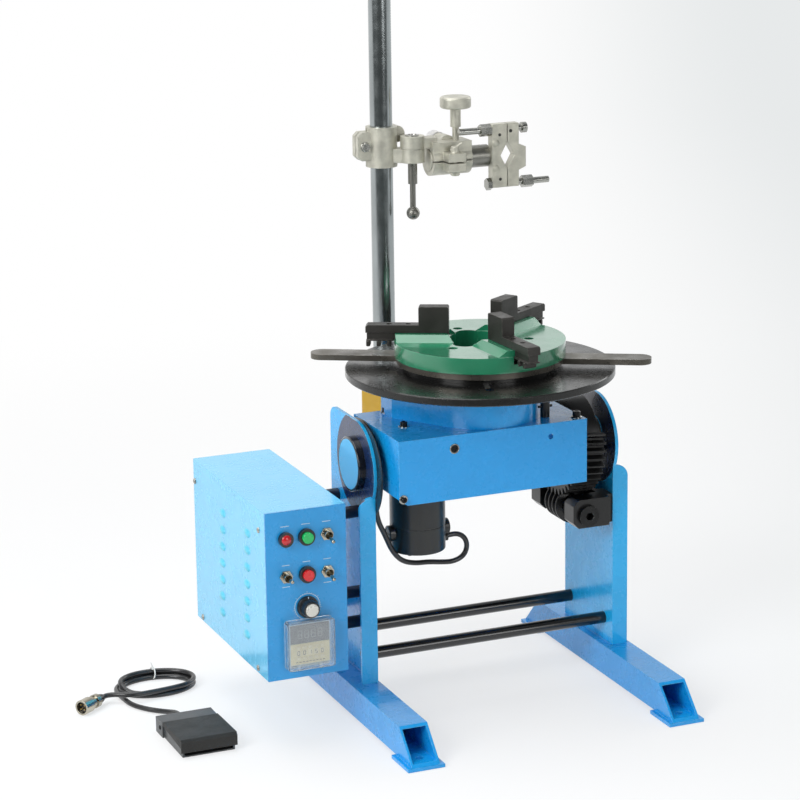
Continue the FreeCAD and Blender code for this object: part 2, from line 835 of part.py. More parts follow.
def left_trunnion():
    collar = rod(trunnion_collar_radius, trunnion_collar, (housing_left, tilt_y, tilt_z), -X)
    shaft_end = left_outer_x - hub_depth + hub_cap_wall + free_gap
    shaft = rod(trunnion_radius, housing_left - shaft_end, (housing_left, tilt_y, tilt_z), -X)
    return fuse([collar, shaft])


def right_trunnion():
    shaft_end = right_outer_x + hub_depth - hub_cap_wall - free_gap
    shaft = rod(trunnion_radius, shaft_end - housing_right, (housing_right, tilt_y, tilt_z), X)
    collar_end = right_wall_x - hub_sleeve_proud - free_gap
    collar = rod(hub_sleeve_radius, collar_end - wheel_right, (wheel_right, tilt_y, tilt_z), X)
    return fuse([shaft, collar])


def sector_outline(x, shift):
    """Outline of the toothed sector in a plane across the tilt axis, turned by shift degrees."""
    tip = wheel_radius + worm_module
    root = wheel_radius - 1.25 * worm_module
    pitch = 360.0 / wheel_teeth
    first = math.ceil((sector_start - 270) / pitch)
    last = math.floor((sector_end - 270) / pitch)
    half_pitch_width = math.degrees((worm_lead / 4 - backlash) / wheel_radius)
    flank = math.tan(math.radians(20))
    tip_half = half_pitch_width - math.degrees(worm_module * flank / wheel_radius)
    root_half = half_pitch_width + math.degrees(1.25 * worm_module * flank / wheel_radius)
    corners = []
    for k in range(first, last):
        middle = 270 + (k + 0.5) * pitch
        corners += [(root, middle - root_half), (tip, middle - tip_half),
                    (tip, middle + tip_half), (root, middle + root_half)]
    points = []
    for radius, angle in corners:
        turn = math.radians(angle + shift)
        points.append(Vector(x, tilt_y + radius * math.cos(turn), tilt_z + radius * math.sin(turn)))
    points.append(Vector(x, tilt_y, tilt_z))
    return wire_of(points)


def sector_wheel():
    """Toothed sector with skewed teeth on a round disc and a hub."""
    lead_slope = worm_lead / (2 * math.pi * worm_radius)
    skew = math.degrees(lead_slope * (wheel_right - wheel_left) / 2 / wheel_radius)
    sector = Part.makeLoft([sector_outline(wheel_left, -skew), sector_outline(wheel_right, skew)], True, True)
    disc = rod(wheel_disc_radius, wheel_right - wheel_left, (wheel_left, tilt_y, tilt_z), X)
    hub = rod(wheel_hub_radius, wheel_left - housing_right, (housing_right, tilt_y, tilt_z), X)
    bore = rod(trunnion_radius, wheel_right - housing_right, (housing_right, tilt_y, tilt_z), X)
    return sector.fuse([disc, hub]).cut(bore)


def cover_outline(inset):
    """Plan of the gear cover: round about the table axis, flat towards the motor."""
    radius = cover_radius - inset
    left = cover_left + inset
    back = cover_back - inset
    corner = Vector(cover_left, cover_left_y, 0)
    centre = Vector(table_x, table_y, 0)
    away = corner - centre
    reach = away.Length
    tangent_turn = math.acos(cover_radius / reach)
    tangent_angle = math.atan2(away.y, away.x) + tangent_turn
    normal = Vector(math.cos(tangent_angle), math.sin(tangent_angle), 0)
    along = Vector(-normal.y, normal.x, 0)
    touch = centre + normal * radius
    to_left = (left - touch.x) / along.x
    meet = touch + along * to_left
    right = Vector(table_x + radius, table_y, 0)
    front = Vector(table_x, table_y - radius, 0)
    return [Vector(right.x, back, 0), right, front, touch, meet, Vector(left, back, 0)]


def cover_solid(inset, bottom, height):
    back_right, right, front, touch, meet, back_left = cover_outline(inset)
    middle_angle = math.radians(-45)
    centre = Vector(table_x, table_y, 0)
    first_arc = centre + Vector(math.cos(middle_angle), math.sin(middle_angle), 0) * (cover_radius - inset)
    lower = (front + touch) * 0.5 - centre
    second_arc = centre + lower.normalize() * (cover_radius - inset)
    edges = [Part.LineSegment(back_right, right).toShape(), Part.Arc(right, first_arc, front).toShape(),
             Part.Arc(front, second_arc, touch).toShape(), Part.LineSegment(touch, meet).toShape(),
             Part.LineSegment(meet, back_left).toShape(), Part.LineSegment(back_left, back_right).toShape()]
    outline = Part.Wire(edges)
    outline.translate(Vector(0, 0, bottom))
    return Part.Face(outline).extrude(Vector(0, 0, height))


def gear_cover():
    shell = cover_solid(0, housing_top, cover_height)
    hollow = cover_solid(cover_wall, housing_top - 1, cover_height - cover_wall + 1)
    hole = rod(cover_hole_radius, cover_height, (table_x, table_y, housing_top + 1))
    return shell.cut([hollow, hole])


def bearing_tube():
    """Flanged tube hung in the top plate, with a seat for each spindle bearing."""
    top = housing_top + bearing_flange
    centre = (table_x, table_y, bearing_tube_bottom)
    tube = rod(bearing_tube_radius, top - bearing_tube_bottom, centre)
    flange = rod(bearing_flange_radius, bearing_flange, (table_x, table_y, housing_top))
    lower = rod(bearing_outer_radius, bearing_width + bearing_lip, centre)
    middle = rod(bearing_outer_radius - 3, top - bearing_tube_bottom, centre)
    upper = rod(bearing_outer_radius, bearing_width + bearing_lip,
                (table_x, table_y, top - bearing_width - bearing_lip))
    return fuse([tube, flange]).cut([lower, middle, upper])


def spindle_bearings():
    inner = spindle_radius + running_gap
    low = bearing_tube_bottom + bearing_lip
    high = housing_top + bearing_flange - bearing_width - bearing_lip
    return [ring(bearing_outer_radius, inner, bearing_width, (table_x, table_y, z)) for z in (low, high)]


def motor():
    """Round motor with a seam ring, two brush caps and the gland of its cable."""
    can = rod(motor_radius, motor_top - motor_bottom, (motor_x, motor_y, motor_bottom))
    bottom_edge = [e for e in can.Edges if abs(e.CenterOfMass.z - motor_bottom) < 0.1
                   and e.Curve.TypeId == "Part::GeomCircle"]
    can = can.makeFillet(2.0, bottom_edge)
    seam = ring(motor_radius + 1, motor_radius - 0.5, 1.0, (motor_x, motor_y, motor_bottom + motor_seam))
    pieces = [can]
    for side in (-1, 1):
        pieces.append(rod(brush_cap_radius, brush_cap_depth + brush_cap_proud,
                          (motor_x + side * (motor_radius - brush_cap_depth), motor_y,
                           motor_bottom + brush_cap_height),
                          X * side))
    gland_start = (motor_x + motor_radius - gland_proud, motor_y, motor_bottom + gland_height)
    pieces.append(rod(gland_radius, 2 * gland_proud, gland_start, X))
    return fuse(pieces).cut(seam)


def gearbox():
    """Case of the reduction gear, under the top plate."""
    return rod(gearbox_radius, housing_top - housing_wall - motor_top, (motor_x, motor_y, motor_top))


def ground_brush():
    """Spring holder with a cross pin; its carbon rubs under the table."""
    holder = rod(brush_holder_radius, brush_holder_top - housing_top, (brush_x, brush_y, housing_top))
    carbon_top = table_bottom - free_gap
    carbon = rod(brush_radius, carbon_top - brush_holder_top, (brush_x, brush_y, brush_holder_top))
    pin_start = (brush_x - brush_pin_length / 2, brush_y, brush_pin_height)
    pin = rod(brush_pin_radius, brush_pin_length, pin_start, X)
    return fuse([holder, carbon, pin])


def column_arm():
    """Yellow arm from the housing's rear wall to a split clamp round the column."""
    half = column_arm_width / 2
    height = column_arm_top - column_arm_bottom
    arm = block(column_x - half, column_x + half, housing_back, column_y, column_arm_bottom, column_arm_top)
    end = block(column_x - half, column_x + half, column_y, column_y + column_arm_end,
                column_arm_bottom, column_arm_top)
    corners = [e for e in end.Edges if abs(e.BoundBox.ZLength - height) < 0.01
               and e.Vertexes[0].Y > column_y + 1]
    end = end.makeFillet(column_arm_corner, corners)
    bore = rod(column_radius, height, (column_x, column_y, column_arm_bottom))
    slit = block(column_x - column_arm_slit / 2, column_x + column_arm_slit / 2, column_y,
                 column_y + column_arm_end + 1, column_arm_bottom, column_arm_top)
    rail = column_arm_rail
    window = block(column_x - half + rail, column_x + half - rail, housing_back + 2 * rail,
                   column_y - column_radius - rail, column_arm_bottom, column_arm_top)
    return fuse([arm, end]).cut([bore, slit, window])


def rack_profile():
    """Zigzag of the rack's teeth along the right side of the column."""
    pitch = math.pi * rack_module
    count = int((column_top - 4 - rack_bottom) / pitch)
    points = [(column_x + column_radius + 1, rack_bottom), (column_x + rack_flat + rack_module, rack_bottom)]
    for k in range(count):
        z = rack_bottom + k * pitch
        points += [(column_x + rack_flat - rack_module, z + pitch * 0.15),
                   (column_x + rack_flat - rack_module, z + pitch * 0.35),
                   (column_x + rack_flat + rack_module * 0.9, z + pitch * 0.55),
                   (column_x + rack_flat + rack_module * 0.9, z + pitch * 0.95)]
    points.append((column_x + column_radius + 1, rack_bottom + count * pitch))
    return points


def column():
    post = rod(column_radius, column_top - column_bottom, (column_x, column_y, column_bottom))
    teeth = prism_y(rack_profile(), column_y - 12, 24)
    return post.cut(teeth)


# ---------------------------------------------------------------- spindle, table and gears

def involute_angle(angle):
    return math.tan(angle) - angle


def gear_blank(teeth, module, face, centre, first_tooth, play=0.12):
    """Spur gear with involute flanks, first_tooth being the direction of one tooth."""
    pitch = teeth * module / 2
    base = pitch * math.cos(math.radians(20))
    root = pitch - 1.25 * module
    tip = pitch + module
    steps = [max(root, base), (max(root, base) + pitch) / 2, pitch, tip]
    half_at_pitch = math.pi / (2 * teeth) - play / 2 / pitch
    flank = []
    for radius in steps:
        pressure = math.acos(min(1.0, base / radius))
        half = half_at_pitch + involute_angle(math.radians(20)) - involute_angle(pressure)
        flank.append((radius, half))
    if root < base:
        flank.insert(0, (root, flank[0][1]))
    points = []
    for k in range(teeth):
        middle = math.radians(first_tooth) + 2 * math.pi * k / teeth
        rising = [(radius, middle - half) for radius, half in flank]
        falling = [(radius, middle + half) for radius, half in reversed(flank)]
        points += rising + falling
    x, y, z = centre
    outline = wire_of([Vector(x + r * math.cos(a), y + r * math.sin(a), z) for r, a in points])
    return Part.Face(outline).extrude(Vector(0, 0, face))


def spindle_gear():
    gear = gear_blank(spindle_gear_teeth, gear_module, gear_face, (table_x, table_y, gear_height),
                      motor_angle)
    hub_bottom = housing_top + bearing_flange + free_gap
    hub = rod(gear_hub_radius, gear_height - hub_bottom, (table_x, table_y, hub_bottom))
    bore = rod(spindle_radius, gear_face + 10, (table_x, table_y, hub_bottom - 1))
    return fuse([gear, hub]).cut(bore)


def motor_pinion():
    """Output shaft of the gearbox with its pinion."""
    facing = motor_angle + 180 + 180.0 / pinion_teeth
    gear = gear_blank(pinion_teeth, gear_module, gear_face, (motor_x, motor_y, gear_height), facing)
    shaft_start = housing_top - housing_wall
    shaft_length = gear_height + gear_face - 1 - shaft_start
    shaft = rod(gearbox_shaft_radius, shaft_length, (motor_x, motor_y, shaft_start))
    return fuse([gear, shaft])


def spindle():
    """Hollow spindle with its table flange and its lock nut."""
    centre = (table_x, table_y, spindle_bottom)
    tube = rod(spindle_radius, table_bottom - spindle_bottom, centre)
    flange = rod(spindle_flange_radius, spindle_flange, (table_x, table_y, table_bottom - spindle_flange))
    nut_top = bearing_tube_bottom + bearing_lip - free_gap
    nut = rod(spindle_nut_radius, spindle_nut, (table_x, table_y, nut_top - spindle_nut))
    bore = rod(spindle_bore_radius, table_bottom - spindle_bottom, centre)
    return fuse([tube, flange, nut]).cut(bore)


def table():
    """Round plate with three radial slots for clamping work."""
    plate = rod(table_radius, table_thickness, (table_x, table_y, table_bottom))
    rims = [e for e in plate.Edges if e.Curve.TypeId == "Part::GeomCircle"]
    plate = plate.makeChamfer(1.0, rims)
    half = table_slot_width / 2
    inner = table_slot_inner + half
    outer = table_slot_outer - half
    slot = fuse([block(table_x + inner, table_x + outer, table_y - half, table_y + half,
                       table_bottom - 1, table_top + 1),
                 rod(half, table_thickness + 2, (table_x + inner, table_y, table_bottom - 1)),
                 rod(half, table_thickness + 2, (table_x + outer, table_y, table_bottom - 1))])
    tools = [turned(slot, table_slot_first_angle + 120 * k, table_x, table_y) for k in range(3)]
    tools.append(rod(table_hole_radius, table_thickness, (table_x, table_y, table_bottom)))
    return plate.cut(tools)


# ---------------------------------------------------------------- chuck

def chuck_backplate():
    plate = rod(backplate_radius, backplate_thickness, (table_x, table_y, table_top))
    return plate.cut(rod(table_hole_radius, backplate_thickness, (table_x, table_y, table_top)))


def jaw_guide():
    """Raised guide along X with sloping flanks, later turned to each jaw."""
    lift = guide_top - chuck_plate_top
    outline = [Vector(0, -guide_foot_half, chuck_plate_top), Vector(0, guide_foot_half, chuck_plate_top),
               Vector(0, guide_top_half, guide_top), Vector(0, -guide_top_half, guide_top)]
    rib = Part.Face(wire_of(outline)).extrude(Vector(chuck_radius, 0, 0))
    rib.translate(Vector(table_x, table_y, 0))
    zone = ring(guide_outer_radius, guide_inner_radius, lift, (table_x, table_y, chuck_plate_top))
    return rib.common(zone)


def jaw_way():
    """The tee-shaped way that a jaw runs in, with room for its rack."""
    half = jaw_width / 2 + slide_gap
    neck = jaw_width / 2 - jaw_neck + slide_gap
    reach = chuck_radius + 2
    floor = jaw_rack_bottom - slide_gap
    lip_bottom = chuck_plate_top + slide_gap
    low = block(table_x, table_x + reach, table_y - half, table_y + half, floor, lip_bottom)
    high = block(table_x, table_x + reach, table_y - neck, table_y + neck, floor, guide_top + 1)
    return fuse([low, high])


def chuck_body():
    """Hub, top plate and skirt with three jaw guides."""
    hub_bottom = table_top + backplate_thickness
    hub = rod(chuck_hub_radius, chuck_plate_top - hub_bottom, (table_x, table_y, hub_bottom))
    plate = rod(chuck_radius, chuck_plate, (table_x, table_y, chuck_plate_bottom))
    skirt_bottom = scroll_flange_bottom + scroll_flange + free_gap
    skirt = ring(chuck_radius, chuck_radius - chuck_skirt, chuck_plate_top - skirt_bottom,
                 (table_x, table_y, skirt_bottom))
    guides = [turned(jaw_guide(), angle, table_x, table_y) for angle in jaw_angles]
    ways = [turned(jaw_way(), angle, table_x, table_y) for angle in jaw_angles]
    depth = guide_top - hub_bottom
    bores = [rod(chuck_bore_radius, depth, (table_x, table_y, hub_bottom))]
    for angle in jaw_angles:
        lobe = rod(chuck_lobe_radius, depth, (table_x + chuck_lobe_centre, table_y, hub_bottom))
        bores.append(turned(lobe, angle + 60, table_x, table_y))
        counterbore = rod(chuck_screw_head, chuck_screw_sink,
                          (table_x + chuck_screw_circle, table_y, chuck_plate_top - chuck_screw_sink))
        bores.append(turned(counterbore, angle + 60, table_x, table_y))
    return fuse([hub, plate, skirt] + guides).cut(ways + bores)


def spiral_ridge(inner_radius, quarter_turns):
    """Flat spiral from quarter circles about the four corners of a small square."""
    step = scroll_pitch / 4
    centres = [(-step / 2, step / 2), (-step / 2, -step / 2), (step / 2, -step / 2), (step / 2, step / 2)]
    half = scroll_ridge / 2
    arcs = {1: [], -1: []}
    for k in range(quarter_turns):
        cx, cy = centres[k % 4]
        radius = inner_radius + step * k
        for side in arcs:
            r = radius + side * half
            angles = [math.radians(90 * k + a) for a in (0, 45, 90)]
            points = [Vector(cx + r * math.cos(a), cy + r * math.sin(a), 0) for a in angles]
            arcs[side].append((points, Part.Arc(*points).toShape()))
    outer = arcs[1]
    inner = arcs[-1]
    start_cap = Part.LineSegment(inner[0][0][0], outer[0][0][0]).toShape()
    end_cap = Part.LineSegment(outer[-1][0][2], inner[-1][0][2]).toShape()
    edges = [start_cap] + [arc for _, arc in outer] + [end_cap] + [arc for _, arc in reversed(inner)]
    return Part.Face(Part.Wire(Part.__sortEdges__(edges)))


def scroll_ring():
    """Scroll disc with its spiral, the flange under it and the two turning levers."""
    flange = ring(scroll_flange_radius, scroll_inner_radius, scroll_flange,
                  (table_x, table_y, scroll_flange_bottom))
    flange_top = scroll_flange_bottom + scroll_flange
    disc = ring(scroll_ring_radius, scroll_inner_radius, scroll_ring_top - flange_top,
                (table_x, table_y, flange_top))
    ridge = spiral_ridge(scroll_inner_radius + scroll_ridge / 2 + 1.5, 6)
    ridge.translate(Vector(table_x, table_y, scroll_ring_top))
    ridge = ridge.extrude(Vector(0, 0, scroll_ridge_height))
    pieces = [flange, disc, ridge]
    start = scroll_ring_radius - 12
    half = lever_width / 2
    for side in (0, 180):
        bar = block(table_x + start, table_x + lever_reach, table_y - half, table_y + half,
                    scroll_flange_bottom, scroll_flange_bottom + lever_thickness)
        corners = [e for e in bar.Edges if abs(e.BoundBox.ZLength - lever_thickness) < 0.01
                   and e.Vertexes[0].X > table_x + start + 1]
        bar = bar.makeFillet(half - 0.5, corners)
        pieces.append(turned(bar, lever_angle + side, table_x, table_y))
    return fuse(pieces)


def ridge_radius(direction):
    """Radius of the spiral's innermost ridge along a direction in degrees."""
    start = scroll_inner_radius + scroll_ridge / 2 + 1.5 - scroll_pitch / 8
    return start + scroll_pitch * (direction % 360) / 360.0


def jaw(direction):
    """Stepped jaw: bar, gripping block, neck, foot and rack, made along X and then turned."""
    half = jaw_width / 2
    neck = half - jaw_neck
    foot_top = chuck_plate_top
    foot_bottom = chuck_plate_bottom + jaw_foot_lift
    bar_bottom = guide_top + free_gap
    profile = [(jaw_inner, bar_bottom), (jaw_bar_end, bar_bottom), (jaw_bar_end, jaw_bar_top - 2),
               (jaw_bar_end - 2, jaw_bar_top), (jaw_block_outer, jaw_bar_top),
               (jaw_block_outer, jaw_block_top - 1.5), (jaw_block_outer - 1.5, jaw_block_top),
               (jaw_inner + 1.5, jaw_block_top), (jaw_inner, jaw_block_top - 1.5)]
    local = [(table_x + x, z) for x, z in profile]
    body = prism_y(local, table_y - half, jaw_width)
    rack_end = jaw_rack_end
    neck_bar = block(table_x + jaw_inner, table_x + rack_end, table_y - neck, table_y + neck,
                     foot_bottom, bar_bottom)
    foot = block(table_x + jaw_inner, table_x + rack_end, table_y - half, table_y + half,
                 foot_bottom, foot_top)
    pieces = [body, neck_bar, foot]
    first = ridge_radius(direction) + scroll_pitch / 2
    count = int((rack_end + jaw_travel_in - first) / scroll_pitch) + 4
    for k in range(-3, count):
        middle = first + k * scroll_pitch
        if jaw_inner + 3 < middle < rack_end - 3:
            pieces.append(block(table_x + middle - jaw_rack_width / 2, table_x + middle + jaw_rack_width / 2,
                                table_y - half, table_y + half, jaw_rack_bottom, foot_bottom))
    holes = [rod(jaw_screw_radius, jaw_screw_sink, (table_x + r, table_y, jaw_bar_top - jaw_screw_sink))
             for r in jaw_screw_places]
    return turned(fuse(pieces).cut(holes), direction, table_x, table_y)


# ---------------------------------------------------------------- worm

def worm():
    """Single-start worm with its shaft and the socketed ring for the crank."""
    tip = worm_radius + worm_module
    root = worm_radius - 1.25 * worm_module
    start_y = tilt_y - worm_thread_length / 2
    core = rod(root + 0.2, worm_thread_length, (worm_x, start_y, worm_z), Y)
    flank = math.tan(math.radians(20))
    half_pitch = worm_lead / 4 - backlash
    half_tip = half_pitch - worm_module * flank
    half_root = half_pitch + 1.25 * worm_module * flank
    turns = int((worm_thread_length - 2 * half_root) / worm_lead)
    length = turns * worm_lead
    helix = Part.makeHelix(worm_lead, length, worm_radius)
    profile = wire_of([Vector(root, 0, -half_root), Vector(tip, 0, -half_tip),
                       Vector(tip, 0, half_tip), Vector(root, 0, half_root)])
    thread = Part.Wire(helix).makePipeShell([profile], True, True)
    thread.translate(Vector(0, 0, -length / 2))
    # The helix starts on its own X axis, which becomes Z: an odd count of turns is centred by half a turn.
    if turns % 2:
        thread.rotate(Vector(0, 0, 0), Z, 180)
    matrix = FreeCAD.Matrix(0, 1, 0, worm_x, 0, 0, 1, tilt_y, 1, 0, 0, worm_z, 0, 0, 0, 1)
    thread = thread.transformGeometry(matrix)
    shaft_front = worm_block_front - drive_ring_length
    shaft = rod(worm_shaft_radius, worm_back - shaft_front, (worm_x, shaft_front, worm_z), Y)
    drive = rod(drive_ring_radius, drive_ring_length - free_gap, (worm_x, shaft_front, worm_z), Y)
    socket = hexagon(drive_socket_radius, 12, (worm_x, shaft_front, worm_z), Y)
    return core.fuse([thread, shaft, drive]).cut(socket)


# ---------------------------------------------------------------- torch holder

def torch_sleeve():
    """Sleeve on the column with its split ear, its pinion boss and its swivel lug."""
    centre = (column_x, column_y, holder_bottom)
    barrel = rod(sleeve_radius, sleeve_height, centre)
    ear_low = holder_bottom + (sleeve_height - ear_height) / 2 + 2
    ear_high = ear_low + ear_height
    tip = column_x - ear_reach
    c = 5.0
    ear_outline = [(column_x - column_radius - 2, ear_low), (tip + c, ear_low), (tip, ear_low + c),
                   (tip, ear_high - c), (tip + c, ear_high), (column_x - column_radius - 2, ear_high)]
    ear = prism_y(ear_outline, column_y - ear_depth / 2, ear_depth)
    lug_bottom = holder_bottom + lug_lift
    boss = rod(boss_radius, lug_height, (swivel_x, swivel_y, lug_bottom))
    reach = math.hypot(swivel_dx, swivel_dy)
    web = block(column_x, column_x + reach, column_y - 10, column_y + 10, lug_bottom, lug_bottom + lug_height)
    web = turned(web, math.degrees(math.atan2(swivel_dy, swivel_dx)), column_x, column_y)
    pinion_x = column_x + rack_flat + pinion_radius
    pinion_z = holder_bottom + sleeve_height - 10
    pinion_boss = rod(10, 20, (pinion_x, column_y - 5, pinion_z), Y)
    bore = rod(column_radius + slide_gap, sleeve_height, centre)
    slit = block(tip - 1, column_x, column_y - ear_slit / 2, column_y + ear_slit / 2,
                 holder_bottom, holder_bottom + sleeve_height)
    ear_bolt = rod(screw_hole_radius, ear_depth,
                   (column_x - ear_reach + 9, column_y - ear_depth / 2, (ear_low + ear_high) / 2), Y)
    pinion_hole = rod(pinion_radius + rack_module + 0.4, 20, (pinion_x, column_y - 4, pinion_z), Y)
    swivel_bore = rod(4 + running_gap, lug_height, (swivel_x, swivel_y, lug_bottom))
    solid = fuse([barrel, ear, boss, web, pinion_boss])
    return solid.cut([bore, slit, ear_bolt, pinion_hole, swivel_bore])


def height_knob():
    """Knurled knob on the pinion that climbs the rack."""
    pinion_x = column_x + rack_flat + pinion_radius
    pinion_z = holder_bottom + sleeve_height - 10
    pitch = math.pi * rack_module
    # The rack tooth that stands level with the pinion sets the pinion's phase.
    offset = (pinion_z - rack_bottom) / pitch
    tooth_middle = 0.75
    tooth_angle = 360.0 / height_pinion_teeth
    phase = 180.0 - (tooth_middle - (offset % 1.0)) * tooth_angle + tooth_angle / 2
    gear = gear_blank(height_pinion_teeth, rack_module, 12, (0, 0, 0), phase, play=0.5)
    gear.Placement = FreeCAD.Placement(Vector(pinion_x, column_y + 8.5, pinion_z), FreeCAD.Rotation(X, 90))
    shaft = rod(pinion_radius + rack_module + 0.35, 6.3, (pinion_x, column_y + 8.5, pinion_z), Y)
    neck = rod(3.0, 4, (pinion_x, column_y + 14.8, pinion_z), Y)
    grip = rod(8.0, 13, (pinion_x, column_y + 16.5, pinion_z), Y)
    return fuse([gear, shaft, neck, grip])


def swivel_arm():
    """Upper boss and web, with the split clamp block for the cross tube."""
    boss_bottom = holder_bottom + lug_lift + lug_height + free_gap
    boss_top = boss_bottom + arm_height
    boss = rod(boss_radius, arm_height, (swivel_x, swivel_y, boss_bottom))
    left = column_x + block_left
    right = left + block_length
    top = tube_z + block_radius + 3.5
    web = block(swivel_x, left + 8, swivel_y - arm_web_width / 2, swivel_y + arm_web_width / 2,
                boss_bottom, boss_top - 3)
    barrel = rod(block_radius, block_length, (left, swivel_y, tube_z), X)
    saddle = block(left, right, swivel_y - block_radius + 3, swivel_y + block_radius - 3, tube_z, top)
    ear_y = swivel_y - block_radius - ear_front
    ear_left = left + clamp_ear_start
    ear_middle = ear_left + clamp_ear_width / 2
    ear = block(ear_left, ear_left + clamp_ear_width, ear_y, swivel_y,
                tube_z - clamp_ear_half_height, tube_z + clamp_ear_half_height)
    bore = rod(tube_radius + running_gap, block_length, (left, swivel_y, tube_z), X)
    slit = block(left, right, ear_y - 1, swivel_y, tube_z - 1, tube_z + 1)
    ear_hole = rod(screw_hole_radius, 40, (ear_middle, ear_y + 8, tube_z - 20))
    knob_hole = rod(4 + running_gap, 40, (column_x + knob_dx, swivel_y, tube_z))
    shank_hole = rod(4 + running_gap, arm_height - 3, (swivel_x, swivel_y, boss_bottom))
    solid = fuse([boss, web, barrel, saddle, ear])
    return solid.cut([bore, slit, ear_hole, knob_hole, shank_hole])


def swivel_handle():
    """Hanging lock handle with a ball end."""
    top = holder_bottom + lug_lift
    shank = rod(4.0, lug_height + arm_height - 4, (swivel_x, swivel_y, top))
    collar = rod(handle_collar_radius, 26, (swivel_x, swivel_y, top - free_gap - 26))
    join = rod(4.0, 1, (swivel_x, swivel_y, top - 1))
    stem = rod(handle_rod_radius, handle_drop - 26 + 8, (swivel_x, swivel_y, top - handle_drop - 8))
    ball = Part.makeSphere(handle_ball_radius, Vector(swivel_x, swivel_y, top - handle_drop - 14))
    return fuse([shank, collar, join, stem, ball])


def torch_tube():
    length = tube_end - block_left
    start = (column_x + block_left, swivel_y, tube_z)
    return ring(tube_radius, tube_radius - 3, length, start, X)


def tube_knob():
    """Mushroom knob whose screw presses on the cross tube."""
    x = column_x + knob_dx
    bottom = tube_z + tube_radius + 0.1
    screw = rod(4.0, stem_lift - tube_radius, (x, swivel_y, bottom))
    stem = rod(knob_stem_radius, knob_lift - stem_lift, (x, swivel_y, holder_bottom + stem_lift))
    head = rod(knob_radius, knob_height, (x, swivel_y, holder_bottom + knob_lift))
    rims = [e for e in head.Edges if e.Curve.TypeId == "Part::GeomCircle"]
    head = head.makeFillet(3.0, rims)
    return fuse([screw, stem, head])


def clamp_profile(sign, outer):
    """Half of the torch clamp seen from the front; sign is its side of the split."""
    inner = clamp_split_x + sign * clamp_gap / 2
    mid_z = tube_z + 1
    low = mid_z - clamp_half_height
    high = mid_z + clamp_half_height
    notch = inner + sign * (diamond_half_width - clamp_gap / 2)
    points = [(inner, low), (outer, low)]
    if sign > 0:
        points += [(outer, mid_z - 19), (outer + clamp_bulge, mid_z - 15),
                   (outer + clamp_bulge, mid_z + 9), (outer, mid_z + 13)]
    points += [(outer, high), (inner, high), (inner, mid_z + diamond_half_height), (notch, mid_z),
               (inner, mid_z - diamond_half_height)]
    return points


def clamp_bolt_places():
    mid_z = tube_z + 1
    return mid_z + bolt_offset - 2, mid_z - bolt_offset - 1


def clamp_half(sign, outer):
    plate = prism_y(clamp_profile(sign, outer), clamp_y - clamp_depth / 2, clamp_depth)
    reach = 2 * clamp_half_width
    holes = [rod(bolt_radius + running_gap, 2 * reach, (clamp_split_x - reach, clamp_y, z), X)
             for z in clamp_bolt_places()]
    return plate.cut(holes)


def torch_clamp_left():
    return clamp_half(-1, clamp_split_x - clamp_gap / 2 - clamp_half_width)


def torch_clamp_right():
    return clamp_half(1, clamp_split_x + clamp_gap / 2 + clamp_right_width)


def torch_clamp_bolts():
    """Upper and lower clamp screws with their nuts, left loose by the clamp's opening."""
    upper, lower = clamp_bolt_places()
    left_face = column_x + tube_end
    stop = clamp_split_x + clamp_gap / 2 + clamp_right_width + clamp_opening + free_gap
    solids = []
    upper_start = column_x + knob_dx - 1
    shank = rod(bolt_radius, stop - upper_start, (upper_start, clamp_y, upper), X)
    head = rod(6.5, 6, (stop, clamp_y, upper), X)
    solids.append(fuse([shank, head]))
    solids.append(threaded_nut(left_face - nut_length, upper))
    lower_end = stop + 36
    shank = rod(bolt_radius, lower_end - left_face, (left_face, clamp_y, lower), X)
    head = hexagon(nut_flat_radius, 5.5, (left_face - 5.5, clamp_y, lower), X)
    solids.append(fuse([shank, head]))
    solids.append(threaded_nut(stop, lower))
    return solids


def threaded_nut(start_x, z):
    nut = hexagon(nut_flat_radius, nut_length, (start_x, clamp_y, z), X)
    return nut.cut(rod(bolt_radius, nut_length, (start_x, clamp_y, z), X))


# ---------------------------------------------------------------- pedal

def pedal_base():
    """Low tray with side walls, a rear ledge and the pin of the treadle."""
    inset = pedal_wall + free_gap
    left = pedal_left + inset
    right = pedal_right - inset
    front = pedal_front + pedal_wall + 1
    floor = block(left, right, front, pedal_back, 0, pedal_floor)
    ledge = block(pedal_left, pedal_right, pedal_ledge_front, pedal_back, 0, pedal_ledge)
    wall = pedal_wall
    ledge_inside = block(left + wall, right - wall, pedal_ledge_front - 1, pedal_back - wall,
                         pedal_floor, pedal_ledge - wall)
    wall_line = [(front, pedal_floor), (pedal_ledge_front, pedal_floor), (pedal_ledge_front, 14.5),
                 (pedal_pivot_y - 4, 14.5), (front, 9.0)]
    walls = [prism_x(wall_line, x, pedal_wall) for x in (left, right - pedal_wall)]
    pin = rod(pedal_pin_radius, right - left, (left, pedal_pivot_y, pedal_pivot_z), X)
    switch = block(cord_entry_x - switch_length / 2, cord_entry_x + switch_length / 2,
                   switch_front, switch_front + switch_depth, pedal_floor, pedal_floor + switch_height)
    cord_hole = rod(cord_radius + 2, 12, (cord_entry_x, pedal_back - 6, cord_entry_z), Y)
    relief = ring(cord_radius + 2, cord_radius, 10, (cord_entry_x, pedal_back - 2, cord_entry_z), Y)
    shell = fuse([floor, ledge.cut(ledge_inside)] + walls + [pin, switch])
    return fuse([shell.cut(cord_hole), relief])


